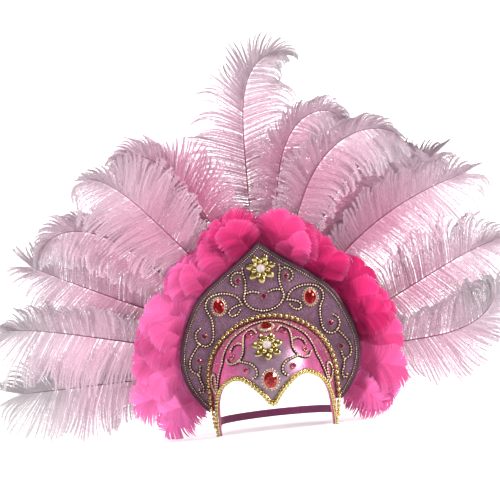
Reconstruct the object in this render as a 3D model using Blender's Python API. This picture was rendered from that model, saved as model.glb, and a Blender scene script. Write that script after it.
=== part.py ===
"""A carnival headdress: a satin cap with a widow's peak, a pointed crest panel behind it, a ruff of
broad goose feathers round the panel and a fan of fourteen curled ostrich plumes.

Metres, +Z up. The wearer looks along -Y, and +X is the right of the front view. The origin is the
top of the head hollow, where the headdress sits on the crown of a head."""

import math

import bmesh
import bpy
from mathutils import Matrix, Vector

# The head hollow, whose top is the origin
HEAD_HALF_WIDTH = 0.0765
HEAD_HALF_DEPTH = 0.092
HEAD_RISE = 0.071
CAP_WALL = 0.0025
CAP_DROP = 0.140
CLEARANCE = 0.0003

# The crest panel stands in the plane between the ears
PANEL_HALF_WIDTH = 0.117
PANEL_RISE = 0.103
PANEL_DROP = 0.110
PANEL_THICKNESS = 0.003

# Trims
ARC_BEAD_RADIUS = 0.004
ARC_BEAD_PITCH = 0.009
ARC_NECK_SHARE = 0.45
ARC_TAIL_SHARE = 0.66
HEM_TRIM_RADIUS = 0.0029
CHAIN_RADIUS = 0.00115
CHAIN_STEP = 0.012
CHAIN_BRANCH_SHARE = 0.97
EDGE_LINE_INSET = 0.0052

# Stones, flowers and pearls
OVAL_WIDTH = 0.020
OVAL_LENGTH = 0.024
OVAL_HEIGHT = 0.0062
LOW_OVAL_SCALE = 1.12
ROUND_STONE_RADIUS = 0.004
ROUND_STONE_HEIGHT = 0.0032
FLOWER_RADIUS = 0.0205
FLOWER_SHEET = 0.0005
PETALS = 7
PEARL_RADIUS = 0.005

# Feathers
RUFF_WIDTH = 0.060
RUFF_THICKNESS = 0.002
RUFF_UNDERLAP = 0.014
RUFF_FLARE = 0.013
RUFF_LOBES = 12
RUFF_START = 0.012
PLUME_LENGTH = 0.230
VANE_WIDTH = 0.050
PLUME_SHEET = 0.0016
PLUME_LAYER_PITCH = 0.0068
LOCK_LIFT = 0.0018
LOCKS_A_SIDE = 7
QUILL_SHARE = 0.16
QUILL_HALF_WIDTH = 0.0024
QUILL_TAPER = 0.6
LOCK_SWEEP = 62.0
LOCK_SWEEP_AT_TIP = 46.0
LOCK_TIP_TURN = 11.5
LOCK_ROOT_SHARE = 0.66
LOCK_SPREAD = 0.46
BEND_ROOM = 0.42
MOST_SPREAD = 1.5
FAN_LEAN = 0.018
FAN_CURL = 0.034
FAN_INNER = 0.120
FAN_SPAN = 0.260

# The elastic that passes behind the head
STRAP_HEIGHT = 0.010
STRAP_THICKNESS = 0.0015
STRAP_LEVEL = -0.1235
STRAP_HALF_DEPTH = 0.097
STRAP_LAP_TURN = 0.30

# The design is drawn on squares: across from the centre line and down from the panel's peak
PANEL_SQUARES_ACROSS = 90.0
PANEL_CROWN_SQUARE = 79.3
PANEL_SQUARES_DOWN = 164.0
CAP_SQUARES_ACROSS = 61.0
CAP_SQUARES_DOWN = 108.0
CAP_FIRST_SQUARE = 79.0
DRAWING_STEP = 1.5

# Right half of the panel's outline (across, down)
PANEL_OUTLINE = [
    (0, 0), (18.7, 14.5), (38.5, 28.7), (58.6, 43.8), (71.6, 58.5), (80.7, 76.6),
    (87.5, 94.7), (90, 112), (88.4, 127.7), (82.6, 142.5), (73, 157), (66, 164),
]
LEG_INNER_SHARE = 1.002

# Hem of the cap's dome, at equal turns from the centre to the side (across, down)
DOME_HEM = [
    (0, 159.5), (6, 152), (11, 146), (17.5, 139.5), (25, 133.7), (34, 131), (40.5, 133.5),
    (46, 137), (51, 143),
]
# Side flaps (back edge across, back edge down, hem across, hem down)
FLAP_COLUMNS = [
    (61, 142, 54.5, 152), (61, 152, 56, 163), (61, 163, 56.5, 172), (60.2, 173, 57, 180),
    (58.4, 187, 57, 187),
]
CAP_ROWS = 6
ARC_TAIL = [(60.6, 171.5), (59.6, 178.5)]

# Bead chains on the panel, right half (across, down)
HEART_SIDE = [
    (18.6, 24.8), (18.6, 29.3), (17, 37), (17.7, 45.5), (19.5, 52), (19.6, 57), (16.8, 62),
    (12, 66), (5.8, 68.2), (0, 69),
]
HEART_CURL = [(18.6, 30), (23.7, 28), (28.7, 30), (30.9, 34.5), (30.4, 39), (27, 41.5)]
HEART_TOP = [(18.6, 50), (11.7, 48.6), (5.2, 50.2)]
WAVE = [
    (23, 60), (26, 53.5), (32, 49.5), (41, 47.4), (50, 48.2), (56.5, 52), (59, 58),
    (58, 64), (55, 70), (54, 76.5), (54, 83), (55, 91), (58.5, 96.5), (64.5, 98), (70, 94.5),
    (72.4, 88.5), (71, 83), (67, 80),
]
LEAF_LOOP = [
    (23, 60.2), (29, 61.6), (34.5, 64), (36.4, 68.2), (33.5, 71), (28.5, 69.6), (25, 65.4),
]
LOWER_CURL = [
    (69.4, 95), (75, 102), (80, 110), (81, 117.5), (78.5, 122.5), (73.5, 125.5), (72, 132),
    (69.8, 138), (70, 142.5), (73, 143.4), (74.2, 140.6),
]
LOWER_BRANCH = [(73.5, 125.5), (71.6, 121.5), (71, 117.6)]

# Bead chains on the cap, right half (across, down)
CAP_ARC = [
    (0, 80.2), (5, 80.4), (14, 82), (22, 85.6), (30.5, 90.8), (37, 96.5), (41.5, 103.4),
    (44.4, 110), (46, 116), (49.5, 125), (52.5, 135), (54.6, 145), (56.6, 156), (57.8, 168),
]
CAP_SCROLL = [
    (10, 90), (13.5, 86.4), (19.5, 88.4), (22.6, 92.5), (23.6, 99), (23.7, 104.5),
    (24.8, 109.5), (28.6, 114.8), (33.5, 117.3), (38.6, 117), (41, 113),
]
CAP_SPIRAL = [(23.6, 100), (29, 98.6), (34.4, 101.4), (36.4, 105.6)]
CAP_LOW_CURL = [(29.4, 115.2), (23.4, 116.8), (16.6, 119.6), (12.6, 125), (13, 130.5), (16.5, 132.6)]

# Ovals and round stones, right half, each with its mirror unless it is on the centre line
PANEL_OVAL = (46, 60)
CAP_OVALS = [("oval_stone_cap_top", 85.5, 1.0), ("oval_stone_cap_low", 135.6, LOW_OVAL_SCALE)]
PANEL_ROUNDS = [(0, 54.4), (24, 36.6), (63.6, 88), (71, 112)]
CAP_ROUNDS = [(17, 91), (36, 110.6), (23, 124.5)]
PANEL_FLOWER_DOWN = 26.6
CAP_FLOWER_DOWN = 105.0

# Ruff (share of the way from the peak to the leg, reach at left, reach at right), reaches as shares
# of the ruff's width
RUFF_REACH = [
    (0.00, 0.87, 0.80), (0.10, 0.95, 1.00), (0.20, 0.93, 0.93), (0.32, 0.87, 0.83),
    (0.44, 0.97, 0.90), (0.55, 1.00, 0.97), (0.66, 0.97, 1.00), (0.76, 1.10, 1.03),
    (0.84, 1.23, 1.03), (0.92, 1.07, 1.07), (1.00, 0.87, 0.83),
]
RUFF_SHORT_ROW = 0.80

# Plumes (root across, root down, heading at root, heading at tip, late bend, length, vane left
# and vane right of the quill as seen from the front, depth layer from the front); headings in
# degrees from upright, towards +X, lengths as shares of PLUME_LENGTH, vanes as shares of VANE_WIDTH
PLUMES = {
    "plume_centre": (-6, 12.5, 1, 104, 6.4, 1.257, 1.32, 1.16, 2),
    "plume_left_1": (-19, 23, -29, -103, 4.7, 0.987, 0.96, 1.12, 1),
    "plume_left_2": (-41.5, 38.6, -40, -80, 7.0, 0.965, 1.24, 1.12, 0),
    "plume_left_3": (-63, 58.6, -45, -148, 4.0, 1.087, 0.84, 1.04, 1),
    "plume_left_4": (-72, 75.5, -67, -62, 1.0, 0.983, 0.92, 0.92, 2),
    "plume_left_5": (-82, 100, -76, -88, 6.0, 1.039, 1.24, 0.72, 0),
    "plume_left_6": (-82, 123, -92, -90, 1.0, 0.970, 1.12, 1.00, 2),
    "plume_right_1": (14, 20, 8, 176, 4.1, 1.139, 0.84, 0.88, 1),
    "plume_right_2": (24, 29, 18, 118, 2.6, 1.122, 0.92, 0.96, 0),
    "plume_right_3": (38.5, 36.3, 27, 96, 2.6, 1.000, 0.88, 0.96, 2),
    "plume_right_4": (46.5, 43, 36, 66, 1.0, 1.009, 0.76, 0.80, 3),
    "plume_right_5": (55, 49.5, 40, 77, 1.0, 1.043, 0.88, 1.00, 0),
    "plume_right_6": (80, 93, 64, 78, 6.0, 0.965, 0.88, 1.00, 1),
    "plume_right_7": (83, 115, 89, 14, 4.2, 0.909, 0.88, 1.24, 0),
}

CAP_HALF_WIDTH = HEAD_HALF_WIDTH + CAP_WALL
CAP_HALF_DEPTH = HEAD_HALF_DEPTH + CAP_WALL
CAP_RISE = HEAD_RISE + CAP_WALL
PANEL_FRONT = CLEARANCE
RUFF_MIDDLE = PANEL_FRONT + PANEL_THICKNESS + CLEARANCE + RUFF_THICKNESS / 2
RUFF_BACK = RUFF_MIDDLE + RUFF_THICKNESS / 2
QUILL_SEAT = RUFF_BACK + CLEARANCE + PLUME_SHEET / 2
FIRST_LAYER = QUILL_SEAT + LOCK_LIFT


def clear_scene():
    for old in list(bpy.data.objects):
        bpy.data.objects.remove(old)


def material(name, colour, roughness, metallic):
    made = bpy.data.materials.new(name)
    made.use_nodes = True
    shader = made.node_tree.nodes["Principled BSDF"]
    shader.inputs["Base Color"].default_value = (*colour, 1.0)
    shader.inputs["Roughness"].default_value = roughness
    shader.inputs["Metallic"].default_value = metallic
    return made


def add_object(name, mesh, finish):
    made = bpy.data.objects.new(name, mesh)
    bpy.context.scene.collection.objects.link(made)
    made.data.materials.append(finish)
    return made


def add_bmesh(name, bm, finish):
    bmesh.ops.recalc_face_normals(bm, faces=bm.faces)
    mesh = bpy.data.meshes.new(name)
    bm.to_mesh(mesh)
    bm.free()
    return add_object(name, mesh, finish)


def thicken(made, thickness):
    modifier = made.modifiers.new("thickness", "SOLIDIFY")
    modifier.thickness = thickness
    modifier.offset = 0.0
    modifier.use_rim = True


def panel_spot(across, down):
    """A point of the panel's drawing as (x, z). The crown's level is the origin's."""
    x = across * PANEL_HALF_WIDTH / PANEL_SQUARES_ACROSS
    below = down - PANEL_CROWN_SQUARE
    if below > 0:
        return x, -below * PANEL_DROP / (PANEL_SQUARES_DOWN - PANEL_CROWN_SQUARE)
    return x, -below * PANEL_RISE / PANEL_CROWN_SQUARE


def cap_spot(across, down):
    """A point of the cap's drawing as (x, z), on the same squares as the panel's."""
    x = across * CAP_HALF_WIDTH / CAP_SQUARES_ACROSS
    return x, -(down - CAP_FIRST_SQUARE) * CAP_DROP / CAP_SQUARES_DOWN


def cap_skin(x, z):
    """The cap's outer surface in front of (x, z): a dome, with upright sides below its widest level."""
    left = 1 - (x / CAP_HALF_WIDTH) ** 2 - (max(z + HEAD_RISE, 0) / CAP_RISE) ** 2
    return Vector((x, -CAP_HALF_DEPTH * math.sqrt(max(left, 0)), z))


def cap_normal(point):
    height = max(point.z + HEAD_RISE, 0)
    across = point.x / CAP_HALF_WIDTH**2
    return Vector((across, point.y / CAP_HALF_DEPTH**2, height / CAP_RISE**2)).normalized()


def smooth_route(points, step):
    """Points at about equal steps along a smooth curve through the given ones."""
    points = [Vector(p) for p in points]
    padded = [2 * points[0] - points[1]] + points + [2 * points[-1] - points[-2]]
    fine = []
    for i in range(1, len(padded) - 2):
        a, b, c, d = padded[i - 1 : i + 3]
        for k in range(12):
            t = k / 12
            fine.append(
                0.5 * (2 * b + (c - a) * t + (2 * a - 5 * b + 4 * c - d) * t**2 + (3 * (b - c) + d - a) * t**3)
            )
    fine.append(points[-1])
    lengths = [0.0]
    for a, b in zip(fine[:-1], fine[1:]):
        lengths.append(lengths[-1] + (b - a).length)
    count = max(2, round(lengths[-1] / step))
    route = []
    at = 0
    for k in range(count + 1):
        want = lengths[-1] * k / count
        while at < len(fine) - 2 and lengths[at + 1] < want:
            at += 1
        span = max(lengths[at + 1] - lengths[at], 1e-9)
        route.append(fine[at].lerp(fine[at + 1], min((want - lengths[at]) / span, 1)))
    return route


def tube_curve(name, route, radius, resolution=1, shares=None):
    """A tube along a route, as a curve with a round bevel and filled caps."""
    data = bpy.data.curves.new(name, "CURVE")
    data.dimensions = "3D"
    data.bevel_depth = radius
    data.bevel_resolution = resolution
    data.use_fill_caps = True
    spline = data.splines.new("POLY")
    spline.points.add(len(route) - 1)
    for i, place in enumerate(route):
        spline.points[i].co = (*place, 1)
        spline.points[i].radius = shares[i] if shares else 1.0
    return data


def nearest_on(routes, place):
    """The point of the given routes that lies nearest to a place."""
    spots = []
    for route in routes:
        for a, b in zip(route[:-1], route[1:]):
            span = b - a
            part = min(max((place - a).dot(span) / span.length_squared, 0), 1)
            spots.append(a + span * part)
    return min(spots, key=lambda spot: (spot - place).length)


def fused_tubes(name, routes, radius, finish):
    """Branching tubes as one solid. Each branch after the first starts on an earlier tube's line."""
    made = None
    for i, route in enumerate(routes):
        if i:
            route = [nearest_on(routes[:i], route[0])] + route[1:]
        share = CHAIN_BRANCH_SHARE**i
        curve = bpy.data.objects.new(name, tube_curve(name, route, radius * share))
        bpy.context.scene.collection.objects.link(curve)
        graph = bpy.context.evaluated_depsgraph_get()
        mesh = bpy.data.meshes.new_from_object(curve.evaluated_get(graph))
        bpy.data.objects.remove(curve)
        bm = bmesh.new()
        bm.from_mesh(mesh)
        bmesh.ops.remove_doubles(bm, verts=bm.verts, dist=1e-6)
        bmesh.ops.recalc_face_normals(bm, faces=bm.faces)
        bm.to_mesh(mesh)
        bm.free()
        if made is None:
            made = add_object(name, mesh, finish)
            continue
        branch = add_object(f"{name}_branch_{i}", mesh, finish)
        branch.hide_render = True
        branch.display_type = "WIRE"
        join = made.modifiers.new(f"join_{i}", "BOOLEAN")
        join.operation = "UNION"
        join.object = branch
        join.solver = "EXACT"
    return made


def mirrored(points):
    return [(-p[0], *p[1:]) for p in points]


def both_sides(half):
    """A route that runs from the left end through the centre line to the right end."""
    return mirrored(half[:0:-1]) + list(half)


def build_cap(finish):
    """The cap: columns run from the back edge down to the hem, and a wall is extruded inwards."""
    columns = []
    for i, (across, down) in enumerate(DOME_HEM):
        turn = math.pi / 2 * i / (len(DOME_HEM) - 1)
        edge = (CAP_HALF_WIDTH * math.sin(turn), CAP_RISE * math.cos(turn) - HEAD_RISE)
        columns.append((edge, cap_spot(across, down)))
    for edge_across, edge_down, across, down in FLAP_COLUMNS:
        columns.append((cap_spot(edge_across, edge_down), cap_spot(across, down)))
    left = [((-e[0], e[1]), (-h[0], h[1])) for e, h in columns[:0:-1]]
    columns = left + columns
    bm = bmesh.new()
    rows = []
    for edge, hem in columns:
        row = []
        for k in range(CAP_ROWS + 1):
            share = 1 - math.cos(math.pi / 2 * k / CAP_ROWS)
            x = edge[0] + (hem[0] - edge[0]) * share
            z = edge[1] + (hem[1] - edge[1]) * share
            row.append(bm.verts.new(cap_skin(x, z)))
        rows.append(row)
    for a, b in zip(rows[:-1], rows[1:]):
        for k in range(CAP_ROWS):
            bm.faces.new((a[k], b[k], b[k + 1], a[k + 1]))
    inner = bmesh.ops.extrude_face_region(bm, geom=list(bm.faces))
    for vert in inner["geom"]:
        if isinstance(vert, bmesh.types.BMVert):
            vert.co -= cap_normal(vert.co) * CAP_WALL
    return add_bmesh("cap_shell", bm, finish)


def panel_edge():
    """The right half of the panel's outline, from the peak to the leg, as (x, 0, z) at equal steps."""
    corners = []
    for across, down in PANEL_OUTLINE:
        x, z = panel_spot(across, down)
        corners.append((x, 0, z))
    return smooth_route(corners, (PANEL_RISE + PANEL_DROP) / 16)


def outward(edge, i):
    """The outline's normal, pointing away from the panel."""
    along = edge[min(i + 1, len(edge) - 1)] - edge[max(i - 1, 0)]
    if i == 0:
        return Vector((0, 0, 1))
    return Vector((-along.z, 0, along.x)).normalized()


def edge_at(edge, share):
    """Point and outward normal at a share of the half outline."""
    place = share * (len(edge) - 1)
    i = min(int(place), len(edge) - 2)
    part = place - i
    normal = outward(edge, i).lerp(outward(edge, i + 1), part).normalized()
    return edge[i].lerp(edge[i + 1], part), normal


def build_panel(edge, finish):
    """The crest panel, a flat board with the head's arch cut out from below."""
    outline = list(edge)
    leg = panel_spot(0, PANEL_SQUARES_DOWN)[1]
    arch = [Vector((HEAD_HALF_WIDTH * LEG_INNER_SHARE, 0, leg))]
    for i in range(17):
        turn = math.pi / 2 * (1 - i / 16)
        arch.append(
            Vector((HEAD_HALF_WIDTH * math.sin(turn), 0, HEAD_RISE * (math.cos(turn) - 1)))
        )
    right = outline + arch
    left = [Vector((-p.x, 0, p.z)) for p in right[1:-1]]
    bm = bmesh.new()
    ring = [bm.verts.new(p + Vector((0, PANEL_FRONT, 0))) for p in right + left[::-1]]
    bm.faces.new(ring)
    back = bmesh.ops.extrude_face_region(bm, geom=list(bm.faces))
    verts = [v for v in back["geom"] if isinstance(v, bmesh.types.BMVert)]
    bmesh.ops.translate(bm, verts=verts, vec=(0, PANEL_THICKNESS, 0))
    return add_bmesh("crest_panel", bm, finish)


def on_panel(across, down, lift):
    x, z = panel_spot(across, down)
    return Vector((x, PANEL_FRONT - CLEARANCE - lift, z))


def on_cap(across, down, lift):
    point = cap_skin(*cap_spot(across, down))
    return point + cap_normal(point) * (CLEARANCE + lift)


def panel_chain(points):
    return smooth_route([on_panel(*p, CHAIN_RADIUS) for p in points], CHAIN_STEP)


def cap_chain(points):
    """A chain's route on the cap, smoothed in the drawing and then laid on the dome."""
    flat = smooth_route([(*p, 0) for p in points], DRAWING_STEP)
    laid = [on_cap(p.x, p.y, CHAIN_RADIUS) for p in flat]
    return smooth_route(laid, CHAIN_STEP)


def build_chains(edge, finish):
    """The bead chains' own tubes: a heart, two scrolls and an edge line on the panel, three on the cap."""
    heart = [panel_chain(mirrored(HEART_SIDE) + HEART_SIDE[-2::-1])]
    for half in (HEART_CURL, HEART_TOP):
        heart += [panel_chain(half), panel_chain(mirrored(half))]
    fused_tubes("panel_heart_chain", heart, CHAIN_RADIUS, finish)
    for side, turn in (("right", list), ("left", mirrored)):
        scroll = [WAVE, LEAF_LOOP, LOWER_CURL, LOWER_BRANCH]
        routes = [panel_chain(turn(part)) for part in scroll]
        fused_tubes(f"panel_scroll_{side}", routes, CHAIN_RADIUS, finish)
        routes = [cap_chain(turn(part)) for part in (CAP_SCROLL, CAP_SPIRAL, CAP_LOW_CURL)]
        fused_tubes(f"cap_scroll_{side}", routes, CHAIN_RADIUS, finish)
    arc = cap_chain(both_sides(CAP_ARC))
    add_object("cap_arc_chain", tube_curve("cap_arc_chain", arc, CHAIN_RADIUS), finish)
    count = 16
    half = []
    for i in range(1, count):
        point, normal = edge_at(edge, i / count)
        half.append(point - normal * EDGE_LINE_INSET)
    rise = edge[1] - edge[0]
    peak = edge[0] - Vector((0, 0, EDGE_LINE_INSET * rise.length / rise.x))
    line = [Vector((-p.x, 0, p.z)) for p in half[::-1]] + [peak] + half
    line = [p + Vector((0, PANEL_FRONT - CLEARANCE - CHAIN_RADIUS, 0)) for p in line]
    add_object("panel_edge_chain", tube_curve("panel_edge_chain", line, CHAIN_RADIUS), finish)


def beads_along(route, pitch, tail_start):
    """Stations and radius shares of a string of beads: a belly and a waist by turns."""
    places = smooth_route(route, pitch / 2)
    shares = []
    for i, place in enumerate(places):
        size = 1.0 if place.z > tail_start else ARC_TAIL_SHARE
        shares.append(size * (1.0 if i % 2 else ARC_NECK_SHARE))
    return places, shares


def build_arc_trim(finish):
    """Large gold beads where the cap meets the panel, with a smaller tail down each flap."""
    lift = ARC_BEAD_RADIUS + CLEARANCE
    level = PANEL_FRONT - 2 * CLEARANCE - ARC_BEAD_RADIUS
    leg = panel_spot(0, PANEL_SQUARES_DOWN)[1]
    half = []
    for i in range(13):
        turn = math.pi / 2 * i / 12
        x = (CAP_HALF_WIDTH + lift) * math.sin(turn)
        half.append(Vector((x, level, (CAP_RISE + lift) * math.cos(turn) - HEAD_RISE)))
    half.append(Vector((CAP_HALF_WIDTH + lift, level, (leg - HEAD_RISE) / 2)))
    half.append(Vector((CAP_HALF_WIDTH + lift, level, leg)))
    for across, down in ARC_TAIL:
        half.append(on_cap(across, down, ARC_BEAD_RADIUS))
    route = both_sides([tuple(p) for p in half])
    places, shares = beads_along([Vector(p) for p in route], ARC_BEAD_PITCH, leg)
    data = tube_curve("arc_trim", places, ARC_BEAD_RADIUS, 3, shares)
    return add_object("arc_trim", data, finish)


def build_hem_trim(finish):
    """The gold braid along the hem, laid on the cap's outer face."""
    half = list(DOME_HEM)
    half += [(across, down) for _, _, across, down in FLAP_COLUMNS]
    flat = smooth_route([(*p, 0) for p in both_sides(half)], DRAWING_STEP)
    laid = [on_cap(p.x, p.y, HEM_TRIM_RADIUS) for p in flat]
    route = smooth_route(laid, 4 * HEM_TRIM_RADIUS)
    return add_object("hem_trim", tube_curve("hem_trim", route, HEM_TRIM_RADIUS), finish)


def seat_matrix(place, normal):
    """A frame whose local Z points along the normal and whose local Y points up the surface."""
    side = Vector((0, 0, 1)).cross(normal).normalized()
    up = normal.cross(side)
    return Matrix((
        (side.x, up.x, normal.x, place.x),
        (side.y, up.y, normal.y, place.y),
        (side.z, up.z, normal.z, place.z),
        (0, 0, 0, 1),
    ))


def panel_seat(across, down):
    return seat_matrix(on_panel(across, down, 0), Vector((0, -1, 0)))


def cap_seat(across, down):
    place = on_cap(across, down, 0)
    return seat_matrix(place, cap_normal(cap_skin(*cap_spot(across, down))))


def stepped_disc(bm, width, length, height, sides, steps):
    """A solid of stacked rings (share of the height, share of the width), from its flat back up."""
    start = bmesh.ops.create_circle(bm, cap_ends=True, segments=sides, radius=1)
    bmesh.ops.rotate(bm, verts=start["verts"], matrix=Matrix.Rotation(math.pi / sides, 3, "Z"))
    at_height, at_share = steps[0]
    scale = (width / 2 * at_share, length / 2 * at_share, 1)
    bmesh.ops.scale(bm, verts=start["verts"], vec=scale)
    back = list(bm.faces)[-1]
    top = back
    for next_height, next_share in steps[1:]:
        grown = bmesh.ops.extrude_face_region(bm, geom=[top])
        if top is not back:
            bmesh.ops.delete(bm, geom=[top], context="FACES_ONLY")
        verts = [v for v in grown["geom"] if isinstance(v, bmesh.types.BMVert)]
        top = [f for f in grown["geom"] if isinstance(f, bmesh.types.BMFace)][0]
        ratio = next_share / at_share
        bmesh.ops.scale(bm, verts=verts, vec=(ratio, ratio, 1))
        bmesh.ops.translate(bm, verts=verts, vec=(0, 0, (next_height - at_height) * height))
        at_height, at_share = next_height, next_share


OVAL_STEPS = [(0, 0.97), (0.2, 1.0), (0.42, 0.84), (0.42, 0.70), (0.62, 0.64), (1.0, 0.36)]
ROUND_STEPS = [(0, 0.9), (0.42, 1.0), (1.0, 0.56)]


def build_stone(name, seat, width, length, height, sides, steps, finish):
    bm = bmesh.new()
    stepped_disc(bm, width, length, height, sides, steps)
    made = add_bmesh(name, bm, finish)
    made.matrix_world = seat
    return made


def build_stones(red, pink):
    for side, sign in (("left", -1), ("right", 1)):
        across, down = PANEL_OVAL
        seat = panel_seat(sign * across, down)
        name = f"oval_stone_panel_{side}"
        build_stone(name, seat, OVAL_WIDTH, OVAL_LENGTH, OVAL_HEIGHT, 12, OVAL_STEPS, red)
    for name, down, size in CAP_OVALS:
        build_stone(
            name, cap_seat(0, down), OVAL_WIDTH * size, OVAL_LENGTH * size, OVAL_HEIGHT, 12, OVAL_STEPS, red
        )
    width = 2 * ROUND_STONE_RADIUS
    for family, rows, seat in (("panel", PANEL_ROUNDS, panel_seat), ("cap", CAP_ROUNDS, cap_seat)):
        for i, (across, down) in enumerate(rows):
            for side, sign in (("left", -1), ("right", 1)):
                if across == 0 and sign > 0:
                    continue
                name = f"round_stone_{family}_{i}_{side if across else 'centre'}"
                place = seat(sign * across, down)
                build_stone(name, place, width, width, ROUND_STONE_HEIGHT, 8, ROUND_STEPS, pink)


def build_flower(name, seat, finish):
    """Two rings of petals cut from one sheet: low long ones and raised shorter ones by turns."""
    bm = bmesh.new()
    count = 2 * PETALS
    root = FLOWER_RADIUS * 0.24
    ring = []
    for i in range(count):
        turn = 2 * math.pi * i / count
        ring.append(bm.verts.new((root * math.cos(turn), root * math.sin(turn), 0)))
    bm.faces.new(ring)
    for i in range(count):
        raised = i % 2
        reach = FLOWER_RADIUS * (0.74 if raised else 1.0)
        height = FLOWER_RADIUS * (0.26 if raised else 0.06)
        half = FLOWER_RADIUS * (0.20 if raised else 0.24)
        turn = 2 * math.pi * (i + 0.5) / count
        along = Vector((math.cos(turn), math.sin(turn), 0))
        beside = Vector((-along.y, along.x, 0))
        wide = along * reach * 0.68 + Vector((0, 0, height))
        tip = bm.verts.new(along * reach + Vector((0, 0, height * (0.9 if raised else 1.6))))
        near = bm.verts.new(wide - beside * half)
        far = bm.verts.new(wide + beside * half)
        bm.faces.new((ring[i], near, far, ring[(i + 1) % count]))
        bm.faces.new((near, tip, far))
    made = add_bmesh(name, bm, finish)
    thicken(made, FLOWER_SHEET)
    made.matrix_world = seat @ Matrix.Translation((0, 0, FLOWER_SHEET / 2))
    return made


def build_pearl(name, seat, finish):
    bm = bmesh.new()
    bmesh.ops.create_uvsphere(bm, u_segments=12, v_segments=6, radius=PEARL_RADIUS)
    made = add_bmesh(name, bm, finish)
    lift = FLOWER_SHEET + CLEARANCE + PEARL_RADIUS
    made.matrix_world = seat @ Matrix.Translation((0, 0, lift))
    return made


def reach_at(share, column):
    for low, high in zip(RUFF_REACH[:-1], RUFF_REACH[1:]):
        if share <= high[0]:
            part = (share - low[0]) / (high[0] - low[0])
            return (low[column] + (high[column] - low[column]) * part) * RUFF_WIDTH
    return RUFF_REACH[-1][column] * RUFF_WIDTH


def build_ruff(side, edge, finish):
    """Half of the ruff: a backing strip behind the panel's edge, with broad feather lobes outside it."""
    sign = 1 if side == "right" else -1
    column = 2 if side == "right" else 1
    bm = bmesh.new()
    inner = []
    outer = []
    for i in range(RUFF_LOBES + 1):
        share = RUFF_START + (1 - RUFF_START) * i / RUFF_LOBES
        point, normal = edge_at(edge, share)
        underlap = RUFF_UNDERLAP * (1 - 0.82 * max(0, (share - 0.8) / 0.2))
        for row, offset in ((inner, -underlap), (outer, 0)):
            place = point + normal * offset
            row.append(bm.verts.new((sign * place.x, RUFF_MIDDLE, place.z)))
    for i in range(RUFF_LOBES):
        bm.faces.new((inner[i], inner[i + 1], outer[i + 1], outer[i]))
        share = RUFF_START + (1 - RUFF_START) * (i + 0.5) / RUFF_LOBES
        point, normal = edge_at(edge, share)
        short = i % 2
        reach = reach_at(share, column) * (RUFF_SHORT_ROW if short else 1.0)
        flare = -RUFF_FLARE if short else 0
        across = Vector((-normal.z, 0, normal.x))
        width = (outer[i + 1].co - outer[i].co).length
        rows = []
        for along, half, depth in ((0.42, 0.56, 0.5), (0.84, 0.62, 0.85)):
            centre = point + normal * reach * along
            pair = []
            for beside in (1, -1):
                place = centre + across * width * half * beside
                pair.append(bm.verts.new((sign * place.x, RUFF_MIDDLE + flare * depth, place.z)))
            rows.append(pair)
        place = point + normal * reach
        tip = bm.verts.new((sign * place.x, RUFF_MIDDLE + flare, place.z))
        bm.faces.new((outer[i], outer[i + 1], rows[0][1], rows[0][0]))
        bm.faces.new((rows[0][0], rows[0][1], rows[1][1], rows[1][0]))
        bm.faces.new((rows[1][0], rows[1][1], tip))
    made = add_bmesh(f"ruff_{side}", bm, finish)
    thicken(made, RUFF_THICKNESS)
    return made


def fan_depth(x, z):
    """How far back the fan of plumes lies: it leans back, and its tips come forward again."""
    reach = math.hypot(x, z + FAN_INNER / 3)
    out = max(0.0, (reach - FAN_INNER) / FAN_SPAN)
    return FAN_LEAN * out - FAN_CURL * out**3


def ease(share):
    share = min(max(share, 0), 1)
    return share * share * (3 - 2 * share)


def quill_route(row, count):
    """Stations along a plume's quill: share, (x, z) and heading, which bends late by a power law."""
    across, down, start, end, late, length = row[:6]
    x, z = panel_spot(across, down)
    steps = 120
    stations = [(0.0, x, z, math.radians(start))]
    wanted = [QUILL_SHARE * (k + 1) / 2 for k in range(2)]
    wanted += [QUILL_SHARE + (1 - QUILL_SHARE) * (k + 1) / count for k in range(count)]
    for step in range(steps):
        share = (step + 0.5) / steps
        heading = math.radians(start + (end - start) * share**late)
        x += math.sin(heading) * length * PLUME_LENGTH / steps
        z += math.cos(heading) * length * PLUME_LENGTH / steps
        if (step + 1) / steps >= wanted[0] - 1e-9:
            stations.append(((step + 1) / steps, x, z, heading))
            wanted.pop(0)
            if not wanted:
                break
    return stations


def vane_reach(share):
    """The vane's half width along the plume, as a share of its widest: full from the middle on."""
    along = (share - QUILL_SHARE) / (1 - QUILL_SHARE)
    return 0.62 + 0.38 * ease(along / 0.45) - 0.60 * ease((along - 0.62) / 0.38)


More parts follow.
